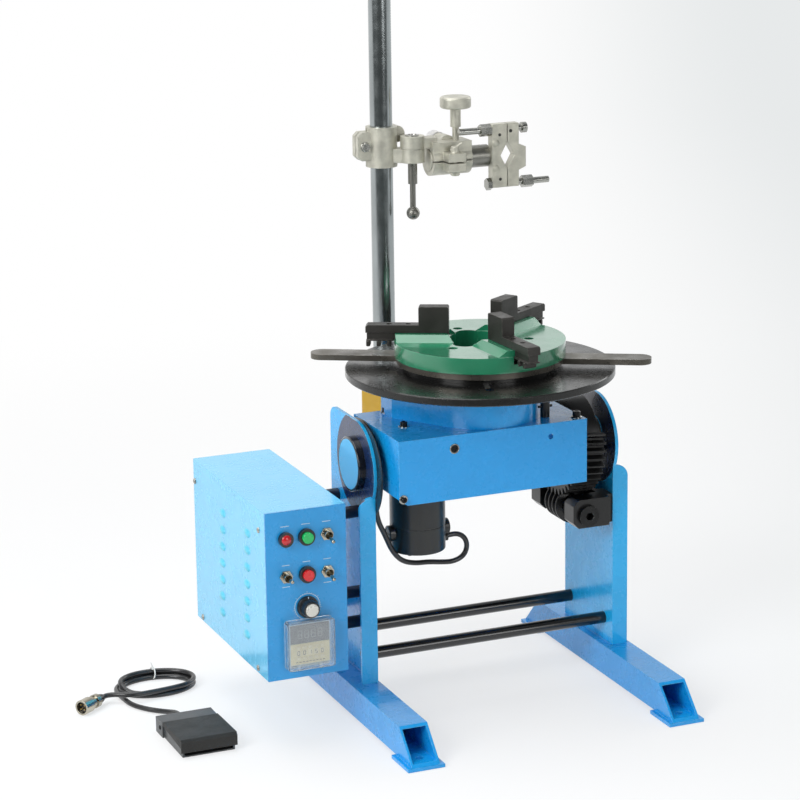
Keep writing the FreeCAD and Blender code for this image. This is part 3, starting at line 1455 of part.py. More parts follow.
def pedal_treadle():
    """Rocking plate with a front skirt, side lips and two hinge ears."""
    back = pedal_ledge_front - 1.0
    top = pedal_height
    line = [(pedal_front, top - 3.0), (pedal_front + 3.0, top), (back, top - 1.5),
            (back, top - 1.5 - pedal_plate),
            (pedal_front + pedal_wall, top - pedal_plate), (pedal_front + pedal_wall, pedal_skirt_bottom),
            (pedal_front, pedal_skirt_bottom)]
    plate = prism_x(line, pedal_left, pedal_right - pedal_left)
    lip_line = [(pedal_front, top - 3.0), (back, top - 3.0), (back, 15.0), (pedal_front, 11.0)]
    lips = [prism_x(lip_line, x, pedal_wall) for x in (pedal_left, pedal_right - pedal_wall)]
    ears = []
    for x in (pedal_left + 2 * pedal_ear, pedal_right - 3 * pedal_ear):
        ear = prism_x([(pedal_pivot_y - 5, top - 3), (pedal_pivot_y + 5, top - 3),
                       (pedal_pivot_y + 5, pedal_pivot_z),
                       (pedal_pivot_y, pedal_pivot_z - 5), (pedal_pivot_y - 5, pedal_pivot_z)], x, pedal_ear)
        ears.append(ear)
    pin_hole = rod(pedal_pin_radius + running_gap, pedal_right - pedal_left,
                   (pedal_left, pedal_pivot_y, pedal_pivot_z), X)
    return fuse([plate] + lips + [e.cut(pin_hole) for e in ears])


def cord_coil():
    """Outer shape of the coiled stretch of the pedal's cord."""
    def stadium(radius):
        centre_left = Vector(coil_x - coil_straight, coil_y, 0)
        centre_right = Vector(coil_x + coil_straight, coil_y, 0)
        up = Vector(0, radius, 0)
        side = Vector(radius, 0, 0)
        edges = [Part.LineSegment(centre_left - up, centre_right - up).toShape(),
                 Part.Arc(centre_right - up, centre_right + side, centre_right + up).toShape(),
                 Part.LineSegment(centre_right + up, centre_left + up).toShape(),
                 Part.Arc(centre_left + up, centre_left - side, centre_left - up).toShape()]
        return Part.Face(Part.Wire(edges))
    band = stadium(coil_radius).cut(stadium(coil_radius - coil_band))
    solid = band.extrude(Vector(0, 0, coil_height))
    solid = solid.Solids[0] if solid.Solids else solid
    return solid.makeFillet(3.0, solid.Edges)


def pedal_plug():
    """Round metal cord plug lying on the floor, open at its face."""
    back = Vector(plug_back[0], plug_back[1], plug_radius)
    face = Vector(plug_face[0], plug_face[1], plug_radius)
    direction = (face - back).normalize()
    body = Part.makeCylinder(plug_radius - 2.5, plug_length, back, direction)
    collar = Part.makeCylinder(plug_radius, 14, back + direction * (plug_length - 14), direction)
    nut = Part.makeCylinder(plug_radius - 1, 6, back + direction * 2, direction)
    recess = Part.makeCylinder(plug_radius - 2, 9, back + direction * (plug_length - 9), direction)
    return fuse([body, collar, nut]).cut(recess)


def build():
    """Every sub-part by name; a list is a group of separate solids."""
    power, direction, mode = toggle_places()
    parts = {
        "left_foot": foot(-foot_x), "right_foot": foot(foot_x),
        "left_upright": upright(left_wall_x, -1), "right_upright": upright(right_wall_x, 1),
        "crossbars": crossbars(), "trunnion_bearings": trunnion_bearings(), "worm_bracket": worm_bracket(),
        "box_spacers": box_spacers(), "control_box": control_box(), "control_panel": control_panel(),
        "pilot_lamp": pilot_lamp(), "button_bezels": button_bezels(), "toggle_bodies": toggle_bodies(),
        "timer_case": timer_case(), "mains_gland": mains_gland(), "pedal_socket": pedal_socket(),
        "pedal_base": pedal_base(), "pedal_cord_coil": cord_coil(), "pedal_plug": pedal_plug(),
        "pedal_cord": [cord_tube(cord_from_pedal, cord_radius, "cord from pedal"),
                       cord_tube(cord_to_plug, cord_radius, "cord to plug")],
        "start_button": push_button(row_top), "stop_button": push_button(row_low),
        "power_toggle": toggle_lever(power, toggle_tilt),
        "direction_toggle": toggle_lever(direction, toggle_tilt), "mode_toggle": toggle_lever(mode, 0),
        "speed_dial": speed_dial(), "timer_cover": timer_cover(), "pedal_treadle": pedal_treadle(),
        "housing": housing(), "trunnions": [left_trunnion(), right_trunnion()],
        "sector_wheel": sector_wheel(), "gear_cover": gear_cover(), "bearing_tube": bearing_tube(),
        "spindle_bearings": spindle_bearings(), "motor": motor(), "gearbox": gearbox(),
        "motor_cable": cord_tube(motor_cable_route, cable_radius, "motor cable"),
        "ground_brush": ground_brush(), "column_arm": column_arm(), "column": column(),
        "table": table(), "spindle": spindle(), "spindle_gear": spindle_gear(),
        "chuck_backplate": chuck_backplate(), "chuck_body": chuck_body(), "motor_pinion": motor_pinion(),
        "worm": worm(), "scroll_ring": scroll_ring(), "torch_sleeve": torch_sleeve(),
        "height_knob": height_knob(), "swivel_arm": swivel_arm(), "swivel_handle": swivel_handle(),
        "torch_tube": torch_tube(), "tube_knob": tube_knob(), "torch_clamp_left": torch_clamp_left(),
        "torch_clamp_right": torch_clamp_right(), "torch_clamp_bolts": torch_clamp_bolts()}
    for name, angle in zip(("jaw_left", "jaw_right", "jaw_front"), jaw_angles):
        parts[name] = jaw(angle)
    return parts


os.makedirs("parts", exist_ok=True)
for node, shape in build().items():
    solids = shape if isinstance(shape, list) else [shape]
    whole = Part.makeCompound([solid for piece in solids for solid in piece.Solids])
    whole.exportStep("parts/" + node + ".step")
    print(node, len(whole.Solids), "valid" if whole.isValid() else "NOT VALID",
          [round(v) for v in (whole.BoundBox.XMin, whole.BoundBox.XMax, whole.BoundBox.YMin,
                              whole.BoundBox.YMax, whole.BoundBox.ZMin, whole.BoundBox.ZMax)])
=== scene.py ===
import math

import bmesh
import bpy
from mathutils import Matrix, Vector


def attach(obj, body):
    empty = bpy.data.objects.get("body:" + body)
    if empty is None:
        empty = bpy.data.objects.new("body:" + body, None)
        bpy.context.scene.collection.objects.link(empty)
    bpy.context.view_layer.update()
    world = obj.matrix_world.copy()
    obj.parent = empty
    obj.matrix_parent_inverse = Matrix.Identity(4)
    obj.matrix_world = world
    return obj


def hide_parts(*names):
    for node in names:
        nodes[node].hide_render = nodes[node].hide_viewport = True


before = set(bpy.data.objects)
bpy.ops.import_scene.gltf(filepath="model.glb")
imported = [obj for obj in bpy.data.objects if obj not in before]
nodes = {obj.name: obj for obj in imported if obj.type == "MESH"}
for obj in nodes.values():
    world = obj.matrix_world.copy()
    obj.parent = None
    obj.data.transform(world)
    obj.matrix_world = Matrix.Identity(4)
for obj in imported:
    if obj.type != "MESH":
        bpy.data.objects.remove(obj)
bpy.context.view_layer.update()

millimetre = 0.001
left, right = Vector((-1, 0, 0)), Vector((1, 0, 0))
front, back = Vector((0, -1, 0)), Vector((0, 1, 0))
down, up = Vector((0, 0, -1)), Vector((0, 0, 1))


def mm(x, y, z):  # the pieces' own sizes are all in millimetres
    return Vector((x, y, z)) * millimetre


def srgb(red, green, blue):  # linear colour of a screen colour given from 0 to 255
    linear = []
    for value in (red, green, blue):
        share = value / 255
        linear.append(share / 12.92 if share <= 0.04045 else ((share + 0.055) / 1.055) ** 2.4)
    return (*linear, 1.0)


def around(centre, reach, angle):  # a point on a circle, seen from above
    return centre[0] + reach * math.cos(angle), centre[1] + reach * math.sin(angle)


def addObject(name, data):
    thing = bpy.data.objects.new(name, data)
    bpy.context.scene.collection.objects.link(thing)
    return thing


def newMaterial(name):
    material = bpy.data.materials.new(name)
    material.use_nodes = True
    return material, material.node_tree, material.node_tree.nodes["Principled BSDF"]


cameraView = {  # millimetres and degrees
    "place": (-1259.4, -2779.6, 1158.2),
    "yaw": 22.59, "pitch": -12.94, "roll": -0.78,
    "lens": 123.08, "shiftX": -0.0005, "shiftY": -0.1085,
}


def makeCamera(spec):
    yaw, pitch, roll = (math.radians(spec[key]) for key in ("yaw", "pitch", "roll"))
    forward = Vector((math.sin(yaw) * math.cos(pitch), math.cos(yaw) * math.cos(pitch), math.sin(pitch)))
    side = Vector((math.cos(yaw), -math.sin(yaw), 0))
    above = side.cross(forward)
    turnedSide = side * math.cos(roll) + above * math.sin(roll)
    turnedAbove = above * math.cos(roll) - side * math.sin(roll)
    data = bpy.data.cameras.new("viewCamera")
    data.lens = spec["lens"]
    data.sensor_width = 36
    data.shift_x = spec["shiftX"]
    data.shift_y = spec["shiftY"]
    data.clip_end = 60
    camera = addObject("viewCamera", data)
    camera.matrix_world = Matrix.Translation(mm(*spec["place"])) @ Matrix(
        (turnedSide, turnedAbove, -forward)).transposed().to_4x4()
    bpy.context.scene.camera = camera


makeCamera(cameraView)
print("camera ready")


def newGroup(name, inputs, outputs):
    group = bpy.data.node_groups.new(name, "ShaderNodeTree")
    for label, value in inputs.items():
        kind = "NodeSocketVector" if isinstance(value, tuple) else "NodeSocketFloat"
        group.interface.new_socket(label, in_out="INPUT", socket_type=kind).default_value = value
    for label in outputs:
        kind = "NodeSocketVector" if label == "Normal" else "NodeSocketFloat"
        group.interface.new_socket(label, in_out="OUTPUT", socket_type=kind)
    return group, group.nodes.new("NodeGroupInput"), group.nodes.new("NodeGroupOutput")


def feed(tree, node, values):  # links or sets the node's inputs, given by name or number
    for label, value in values.items():
        if isinstance(value, bpy.types.NodeSocket):
            tree.links.new(value, node.inputs[label])
        else:
            node.inputs[label].default_value = value
    return node


def objectPlace(tree):
    return put(tree, "ShaderNodeTexCoord").outputs["Object"]


def put(tree, kind, links=(), **settings):  # adds a node: its inputs as pairs, its settings by name
    node = tree.nodes.new(kind)
    for key, value in settings.items():
        setattr(node, key, value)
    return feed(tree, node, dict(links))


def mathNode(tree, operation, first, second=0.0, third=0.0):
    return put(tree, "ShaderNodeMath", [(0, first), (1, second), (2, third)], operation=operation).outputs[0]


def vectorMath(tree, operation, *values):
    return put(tree, "ShaderNodeVectorMath", list(enumerate(values)), operation=operation).outputs


def remap(tree, value, low, high, outLow=0.0, outHigh=1.0):
    links = [("Value", value), ("From Min", low), ("From Max", high), ("To Min", outLow), ("To Max", outHigh)]
    return put(tree, "ShaderNodeMapRange", links, interpolation_type="SMOOTHSTEP").outputs[0]


def noise(tree, vector, scale, detail=3.0, roughness=0.55):
    links = [("Vector", vector), ("Scale", scale), ("Detail", detail), ("Roughness", roughness)]
    return put(tree, "ShaderNodeTexNoise", links).outputs["Fac"]


def makeEdgeGroup():  # rounds sharp corners in the shading and gives a mask that is bright along them, which tints the edges with wear and with painted edge light
    group, start, end = newGroup("cornerWearAndPaintedLight", {"Radius": 0.0006}, ["Normal", "Edge"])
    bevel = put(group, "ShaderNodeBevel", [("Radius", start.outputs["Radius"])], samples=4)
    flat = put(group, "ShaderNodeNewGeometry").outputs["Normal"]
    dot = vectorMath(group, "DOT_PRODUCT", bevel.outputs[0], flat)
    edge = remap(group, dot["Value"], 0.985, 0.80)
    broken = remap(group, noise(group, objectPlace(group), 180.0), 0.35, 0.62)
    feed(group, end, {"Normal": bevel.outputs[0], "Edge": mathNode(group, "MULTIPLY", edge, broken)})
    return group


def makeSkinGroup():  # cloudy shade, fine grain height and smudges, all from the object's own coordinates
    group, start, end = newGroup("surfaceSkin", {"Grain": 900.0, "Cloud": 14.0}, ["Height", "Shade", "Smudge"])
    place = objectPlace(group)
    grain = noise(group, place, start.outputs["Grain"], 2.0)
    cloud = noise(group, place, start.outputs["Cloud"], 4.0)
    smudge = remap(group, noise(group, place, 46.0, 5.0, 0.65), 0.30, 0.72)
    feed(group, end, {"Height": grain, "Shade": cloud, "Smudge": smudge})
    return group


def makeStreakGroup():  # fine straight tool marks: the stretch vector sets their direction
    group, start, end = newGroup("toolStreaks", {"Stretch": (900.0, 900.0, 12.0)}, ["Height", "Shade"])
    drawn = vectorMath(group, "MULTIPLY", objectPlace(group), start.outputs["Stretch"])
    fine = noise(group, drawn[0], 1.0, 4.0, 0.6)
    feed(group, end, {"Height": fine, "Shade": remap(group, fine, 0.3, 0.7)})
    return group


# distance from a line along X, Y or Z through a centre; the mask drops the line's own axis
def makeRadiusGroup():
    group, start, end = newGroup("axisDistance", {"Centre": (0, 0, 0), "Mask": (1, 1, 0)}, ["Distance"])
    away = vectorMath(group, "SUBTRACT", objectPlace(group), start.outputs["Centre"])
    across = vectorMath(group, "MULTIPLY", away[0], start.outputs["Mask"])
    feed(group, end, {"Distance": vectorMath(group, "LENGTH", across[0])["Value"]})
    return group


def makeTurnedGroup():  # rings left by a lathe round a vertical line, and the shade that they give
    group, start, end = newGroup("latheRings", {"Distance": 0.0, "Pitch": 0.0008}, ["Height", "Shade"])
    count = mathNode(group, "DIVIDE", start.outputs["Distance"], start.outputs["Pitch"])
    uneven = put(group, "ShaderNodeTexNoise", [("W", count), ("Scale", 1.0), ("Detail", 3.0)],
                 noise_dimensions="1D").outputs["Fac"]
    wide = put(group, "ShaderNodeTexNoise", [("W", count), ("Scale", 0.11), ("Detail", 2.0)],
               noise_dimensions="1D").outputs["Fac"]
    feed(group, end, {"Height": uneven, "Shade": remap(group, wide, 0.35, 0.65)})
    return group


effects = {"edge": makeEdgeGroup(), "skin": makeSkinGroup(), "streak": makeStreakGroup(),
           "radius": makeRadiusGroup(), "turned": makeTurnedGroup()}
print("shared effects ready")


def useGroup(tree, name, **values):
    return feed(tree, put(tree, "ShaderNodeGroup", node_tree=effects[name]), values)


def mixColour(tree, share, first, second):
    node = put(tree, "ShaderNodeMix", data_type="RGBA", blend_type="MIX")
    return feed(tree, node, {0: share, 6: first, 7: second}).outputs[2]


layerShare = {"streak": 0.35, "rings": 0.4}  # how strongly tool marks darken the colour


def makeFinish(name, colour, rough=0.4, metal=0.0, darker=0.82, edgeWearAndPaintedLight=None, edgeWearAndLightShare=0.6, radius=0.0006,
               grain=900.0, cloud=14.0, bump=0.05, coat=0.0, coatRough=0.05, smudge=0.12, streak=None,
               streakBump=0.0, turned=None, ringBump=0.0, zones=(), shaderSet=None):
    finish, tree, shader = newMaterial(name)
    feed(tree, shader, {"Metallic": metal, "Coat Weight": coat, "Coat Roughness": coatRough})
    feed(tree, shader, shaderSet or {})
    colour = srgb(*colour)
    corner = useGroup(tree, "edge", Radius=radius)
    skin = useGroup(tree, "skin", Grain=grain, Cloud=cloud)
    deep = (*(c * darker for c in colour[:3]), 1.0)
    shade = remap(tree, skin.outputs["Shade"], 0.3, 0.7)
    paint = mixColour(tree, shade, deep, colour)
    height = mathNode(tree, "MULTIPLY", skin.outputs["Height"], bump)
    if streak:
        lines = useGroup(tree, "streak", Stretch=streak)
        marked = mathNode(tree, "MULTIPLY", lines.outputs["Shade"], layerShare["streak"])
        paint = mixColour(tree, marked, paint, deep)
        height = mathNode(tree, "MULTIPLY_ADD", lines.outputs["Height"], streakBump, height)
    if turned:
        distance = useGroup(tree, "radius", Centre=turned[0], Mask=turned[1])
        rings = useGroup(tree, "turned", Distance=distance.outputs[0], Pitch=turned[2])
        marked = mathNode(tree, "MULTIPLY", rings.outputs["Shade"], layerShare["rings"])
        paint = mixColour(tree, marked, paint, deep)
        height = mathNode(tree, "MULTIPLY_ADD", rings.outputs["Height"], ringBump, height)
    # solid colour within a distance of a line: the lamp's red lens, the hub's blue face, and painted shade
    # round the tilt axis on the side plates
    for centre, mask, reach, inner, *side in zones:
        distance = useGroup(tree, "radius", Centre=centre, Mask=mask)
        inside = remap(tree, distance.outputs[0], reach + 0.00005, reach - 0.00005)
        if side:  # only the faces that look this way
            faces = put(tree, "ShaderNodeNewGeometry").outputs["Normal"]
            dot = vectorMath(tree, "DOT_PRODUCT", faces, side[0])
            inside = mathNode(tree, "MULTIPLY", inside, remap(tree, dot["Value"], 0.4, 0.6))
        paint = mixColour(tree, inside, paint, srgb(*inner))
    # edge tint: bare metal on worn edges of metal parts; on paint a lighter tint is a painted edge highlight
    # and a darker one painted edge shade
    if edgeWearAndPaintedLight:
        edgeWearAndLightMask = mathNode(tree, "MULTIPLY", corner.outputs["Edge"], edgeWearAndLightShare)
        paint = mixColour(tree, edgeWearAndLightMask, paint, srgb(*edgeWearAndPaintedLight))
    dull = mathNode(tree, "MULTIPLY_ADD", skin.outputs["Smudge"], smudge, rough - smudge / 2)
    relief = put(tree, "ShaderNodeBump", [("Strength", 1.0), ("Distance", millimetre), ("Height", height),
                                          ("Normal", corner.outputs["Normal"])])
    feed(tree, shader, {"Base Color": paint, "Roughness": dull, "Normal": relief.outputs[0]})
    return finish


acrossX, acrossY, acrossZ = (0, 1, 1), (1, 0, 1), (1, 1, 0)  # masks that drop one axis
tableAxis, tiltAxis = (-0.0064, -0.0035, 0), (0, 0.0245, 0.290)  # metres, as all lengths of a finish

# frame paint: the light blue edge tint is a painted edge highlight
framePaint = dict(rough=0.28, darker=0.93, bump=0.010, grain=520, coat=0.35, edgeWearAndPaintedLight=(150, 214, 250),
                  edgeWearAndLightShare=0.8, radius=0.0009)
buttonPlastic = dict(rough=0.26, bump=0.02, darker=0.9, coat=0.4,
                     shaderSet={"Subsurface Weight": 0.15, "Subsurface Scale": 0.002})
finishSpec = {
    "frameBlue": dict(framePaint, colour=(18, 158, 232)),
    # side plates: a lighter copy of the frame blue as painted fill light, with a painted shade ring round the
    # tilt axis on faces that look to -X
    "plateBlueLitWithPaintedShade": dict(framePaint, colour=(30, 182, 246),
        zones=[(tiltAxis, acrossX, 0.058, (22, 44, 84), (-1, 0, 0))]),
    # control box shell and vent hoods: lighter copies of the sky blue paint, painted light for the brightly lit
    # box side
    "boxBlueLitCopy": dict(colour=(92, 198, 242), rough=0.26, darker=0.96, bump=0.006, grain=520, coat=0.6,
        coatRough=0.12, edgeWearAndPaintedLight=(60, 150, 210), edgeWearAndLightShare=0.5),
    "ventBlueLitCopy": dict(colour=(94, 204, 232), rough=0.34, darker=0.92, bump=0.03, grain=420, coat=0.3,
        edgeWearAndPaintedLight=(150, 226, 250), edgeWearAndLightShare=0.6),
    # panel paint: the dark edge tint is painted shade along the panel's edges
    "panelBlue": dict(colour=(26, 152, 220), rough=0.30, darker=0.92, bump=0.02, grain=500, coat=0.4,
        edgeWearAndPaintedLight=(20, 80, 140), edgeWearAndLightShare=0.7),
    # hub caps: the black beyond the face is a painted dark reflection on the blue rim, and the face is a
    # lighter copy of the frame blue as painted light
    "hubBluePaintedReflection": dict(colour=(18, 20, 24), rough=0.14, coat=0.7, bump=0.02, radius=0.0012,
        zones=[(tiltAxis, acrossX, 0.0292, (84, 184, 236))], edgeWearAndPaintedLight=(150, 160, 170), edgeWearAndLightShare=0.25),
    "darkNavy": dict(colour=(26, 30, 46), rough=0.35, bump=0.04, coat=0.2),
    "blackEnamel": dict(colour=(17, 18, 19), rough=0.20, bump=0.03, coat=0.6, streak=(10.0, 700.0, 700.0),
        streakBump=0.02),
    "tableSteel": dict(colour=(38, 38, 37), rough=0.26, metal=0.45, darker=0.72, bump=0.02,
        turned=(tableAxis, acrossZ, 0.0007), ringBump=0.05, edgeWearAndPaintedLight=(112, 112, 108), edgeWearAndLightShare=0.5, radius=0.0008,
        smudge=0.16, coat=0.25, coatRough=0.16),
    "chuckGreen": dict(colour=(36, 134, 96), rough=0.22, darker=0.86, bump=0.008, grain=500, coat=1.0,
        coatRough=0.10, edgeWearAndPaintedLight=(140, 205, 176), edgeWearAndLightShare=0.7, radius=0.0010),
    "jawBlack": dict(colour=(60, 58, 55), rough=0.40, metal=0.4, darker=0.72, bump=0.10, grain=1200,
        edgeWearAndPaintedLight=(132, 128, 122), edgeWearAndLightShare=0.6, radius=0.0010, smudge=0.2),
    "scrollSteel": dict(colour=(112, 108, 100), rough=0.36, metal=0.7, darker=0.6, bump=0.08, grain=700,
        edgeWearAndPaintedLight=(200, 196, 188), edgeWearAndLightShare=0.7, radius=0.0010, smudge=0.25),
    "chrome": dict(colour=(172, 178, 179), rough=0.20, metal=1.0, darker=0.84, bump=0.012, edgeWearAndPaintedLight=(90, 95, 100),
        edgeWearAndLightShare=0.3, streak=(700, 700, 4.0), streakBump=0.01, smudge=0.10, radius=0.0004),
    "castAlloy": dict(colour=(206, 204, 190), rough=0.42, metal=0.58, darker=0.76, bump=0.30, grain=950,
        cloud=75, edgeWearAndPaintedLight=(226, 224, 212), edgeWearAndLightShare=0.8, radius=0.0013, smudge=0.18),
    "turnedSteel": dict(colour=(158, 157, 150), rough=0.32, metal=0.9, darker=0.66, bump=0.12,
        streak=(900, 900, 30.0), streakBump=0.04, edgeWearAndPaintedLight=(220, 220, 212), smudge=0.16),
    "brightScrew": dict(colour=(186, 186, 180), rough=0.26, metal=1.0, darker=0.7, bump=0.03,
        edgeWearAndPaintedLight=(235, 235, 230), smudge=0.1, radius=0.0003),
    "blackScrew": dict(colour=(22, 22, 23), rough=0.28, metal=0.5, bump=0.04, edgeWearAndPaintedLight=(120, 120, 120),
        radius=0.0003),
    "gearSteel": dict(colour=(52, 52, 52), rough=0.34, metal=0.7, darker=0.5, bump=0.06, edgeWearAndPaintedLight=(150, 150, 146),
        edgeWearAndLightShare=0.6, radius=0.0005, smudge=0.25),
    "wormIron": dict(colour=(26, 26, 26), rough=0.34, metal=0.25, darker=0.75, bump=0.08, grain=700,
        edgeWearAndPaintedLight=(110, 106, 100), edgeWearAndLightShare=0.4, radius=0.0010, coat=0.2),
    "motorBlack": dict(colour=(36, 39, 39), rough=0.34, metal=0.1, darker=0.8, bump=0.12, grain=520, coat=0.25,
        coatRough=0.2, edgeWearAndPaintedLight=(110, 112, 112), radius=0.0008),
    "armYellow": dict(colour=(206, 160, 30), rough=0.46, darker=0.86, bump=0.02,
        shaderSet={"Specular IOR Level": 0.2}, edgeWearAndPaintedLight=(240, 210, 120), edgeWearAndLightShare=0.5),
    "blackPlastic": dict(colour=(24, 25, 26), rough=0.30, bump=0.03, coat=0.2, edgeWearAndPaintedLight=(70, 72, 76),
        edgeWearAndLightShare=0.4),
    "timerShell": dict(colour=(196, 208, 212), rough=0.32, bump=0.02, darker=0.93, coat=0.3),
    "greenPlastic": dict(buttonPlastic, colour=(24, 186, 96)),
    "redPlastic": dict(buttonPlastic, colour=(216, 30, 34)),
    "lampRed": dict(colour=(26, 20, 22), rough=0.22, bump=0.02, coat=0.4,
        zones=[((-0.273, 0, 0.2425), acrossY, 0.0057, (190, 30, 38))]),
    "nickel": dict(colour=(196, 190, 174), rough=0.16, metal=1.0, darker=0.62, bump=0.02, edgeWearAndPaintedLight=(240, 236, 225),
        smudge=0.08, radius=0.0003),
    "paleMark": dict(colour=(206, 226, 240), rough=0.45, bump=0.01, darker=0.95),
    "silverCap": dict(colour=(216, 214, 206), rough=0.28, metal=0.5, darker=0.9, bump=0.02,
        turned=((-0.2485, 0, 0.161), acrossY, 0.0004), ringBump=0.03),
    "timerCream": dict(colour=(226, 216, 182), rough=0.42, bump=0.03, darker=0.93),
    "timerKey": dict(colour=(236, 228, 204), rough=0.38, bump=0.02, darker=0.95),
    "timerGrey": dict(colour=(118, 122, 128), rough=0.25, bump=0.01, darker=0.94, coat=0.4),
    "segmentGrey": dict(colour=(164, 168, 172), rough=0.35, bump=0.01, darker=0.95),
    "inkDark": dict(colour=(40, 40, 38), rough=0.4, bump=0.01),
    "pedalGrip": dict(colour=(30, 30, 28), rough=0.58, bump=0.55, grain=820, darker=0.8, edgeWearAndPaintedLight=(92, 92, 90),
        edgeWearAndLightShare=0.5, radius=0.0012),
    "pedalShell": dict(colour=(70, 73, 75), rough=0.34, metal=0.2, bump=0.12, grain=600, edgeWearAndPaintedLight=(160, 162, 164),
        edgeWearAndLightShare=0.6, radius=0.0010),
    "cordBlack": dict(colour=(34, 34, 35), rough=0.34, bump=0.06, grain=1500, coat=0.3, darker=0.8),
    "tieWhite": dict(colour=(232, 232, 228), rough=0.4, bump=0.03, darker=0.95),
    "brass": dict(colour=(196, 164, 92), rough=0.3, metal=0.9, bump=0.03),
}
finishes = {name: makeFinish(name, **values) for name, values in finishSpec.items()}


def makeClear(name, tint, rough, weight):
    clear, tree, shader = newMaterial(name)
    feed(tree, shader, {"Base Color": tint, "IOR": 1.46, "Transmission Weight": weight})
    corner = useGroup(tree, "edge", Radius=0.0006)
    skin = useGroup(tree, "skin", Grain=260.0, Cloud=30.0)
    dull = mathNode(tree, "MULTIPLY_ADD", skin.outputs["Smudge"], 0.06, rough)
    feed(tree, shader, {"Roughness": dull, "Normal": corner.outputs["Normal"]})
    return clear


clearSpec = {
    "clearAcrylic": dict(tint=(0.93, 0.96, 0.97, 1), rough=0.05, weight=0.93),
    "milkyCap": dict(tint=(0.93, 0.92, 0.92, 1), rough=0.35, weight=0.45),
}
for clearName, values in clearSpec.items():
    finishes[clearName] = makeClear(clearName, **values)

nodeFinishes = {
    "frameBlue": ["left_foot", "right_foot", "housing", "gear_cover", "bearing_tube"],
    "plateBlueLitWithPaintedShade": ["left_upright", "right_upright"], "timerShell": ["timer_case"],
    "boxBlueLitCopy": ["control_box"], "panelBlue": ["control_panel"], "hubBluePaintedReflection": ["trunnion_bearings"],
    "darkNavy": ["box_spacers"], "blackEnamel": ["crossbars"],
    "tableSteel": ["table", "chuck_backplate"], "chuckGreen": ["chuck_body"],
    "jawBlack": ["jaw_left", "jaw_right", "jaw_front"], "scrollSteel": ["scroll_ring"],
    "chrome": ["column"],
    "castAlloy": ["torch_sleeve", "swivel_arm", "torch_clamp_left", "torch_clamp_right", "tube_knob"],
    "turnedSteel": ["swivel_handle", "torch_tube", "spindle", "trunnions"],
    "brightScrew": ["torch_clamp_bolts", "spindle_bearings"],
    "gearSteel": ["sector_wheel", "spindle_gear", "motor_pinion", "worm"],
    "wormIron": ["worm_bracket", "ground_brush"], "motorBlack": ["motor", "gearbox"],
    "armYellow": ["column_arm"],
    "blackPlastic": ["button_bezels", "mains_gland", "height_knob", "speed_dial"],
    "greenPlastic": ["start_button"], "redPlastic": ["stop_button"], "lampRed": ["pilot_lamp"],
    "nickel": ["toggle_bodies", "power_toggle", "direction_toggle", "mode_toggle", "pedal_plug",
               "pedal_socket"],
    "clearAcrylic": ["timer_cover"], "pedalGrip": ["pedal_treadle"], "pedalShell": ["pedal_base"],
    "cordBlack": ["pedal_cord", "pedal_cord_coil", "motor_cable"],
}
for finishName, names in nodeFinishes.items():
    for nodeName in names:
        slots = nodes[nodeName].data.materials
        slots.clear()
        slots.append(finishes[finishName])
undressed = sorted(set(nodes) - {n for names in nodeFinishes.values() for n in names})
print("finishes ready, nodes without one:", undressed)


cordSpec = {
    "radius": 3.0, "centre": (-354.0, 168.0), "stretch": 13.0, "firstAngle": 206.6, "pointsPerTurn": 16,
    "turns": 2.86, "flatTurns": 2.0, "firstRadius": 37.0, "narrowing": 6.3, "topRadius": 34.6,
    "lowHeight": 3.1, "topRise": 6.6, "topSink": 0.6, "sway": 1.2,
    "fromPedal": [(-363, 45, 9), (-363, 59, 9), (-367, 73, 5.5), (-376, 87, 3.2), (-389, 101, 3.2),
                  (-399, 119, 3.2), (-402, 138, 3.4)],
    "toPlug": [(-385, 131.5, 9.6), (-399, 134.5, 10.2), (-411, 142.5, 9.8), (-420, 146, 9.2),
               (-424.4, 144.7, 9), (-434.4, 137.5, 9)],
    "exit": (-363, 45, 9),
}

cableSpec = {
    "radius": 3.1,
    "points": [(-142, 48.6, 290), (-142, 65, 289.5), (-142, 74.5, 306.5), (-142, 66, 328), (-142, 41, 337.5),
               (-142, 10, 336.8), (-142, -14, 322), (-142, -22, 298), (-142, -20, 272), (-141.5, -11, 248),
               (-134, 1, 225), (-122, 9, 204), (-112, 14, 183), (-98, 19, 167), (-80, 23, 160.5),
               (-61, 25.5, 159), (-43, 27.5, 155.5), (-28, 28.3, 154), (-14.5, 28.5, 159),
               (-9.5, 28.5, 171.5), (-14.5, 28.5, 184), (-28, 28.5, 189), (-43, 28.5, 185.5)],
}


def coilPoint(spec, share):  # place after this many turns: two lie on the floor, the third on top of them
    angle = math.radians(spec["firstAngle"] - 360 * share)
    climb = share - spec["flatTurns"]
    radius = spec["firstRadius"] - spec["narrowing"] * min(share, spec["flatTurns"])
    height = spec["lowHeight"]
    if climb > 0:
        lifted = min(1.0, climb / 0.22)
        sunk = max(0.0, min(1.0, (climb - 0.2) / 0.2))
        radius += (spec["topRadius"] - radius) * lifted - spec["narrowing"] * climb * 0.4
        height += spec["topRise"] * min(1.0, climb / 0.12) - spec["topSink"] * sunk
    x = spec["centre"][0] + (radius + spec["stretch"]) * math.cos(angle) + spec["sway"] * math.sin(5 * share)
    return (x, spec["centre"][1] + radius * math.sin(angle), height)


def makeCord(name, points, radius, body, finish):
    data = bpy.data.curves.new(name, "CURVE")
    data.dimensions = "3D"
    data.bevel_depth = radius * millimetre
    data.bevel_resolution = 5
    data.use_fill_caps = True
    line = data.splines.new("NURBS")
    line.points.add(len(points) - 1)
    for point, place in zip(line.points, points):
        point.co = (*mm(*place), 1.0)
    line.order_u = 3
    line.use_endpoint_u = True
    line.resolution_u = 8
    cord = addObject(name, data)
    data.materials.append(finishes[finish])
    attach(cord, body)
    return cord


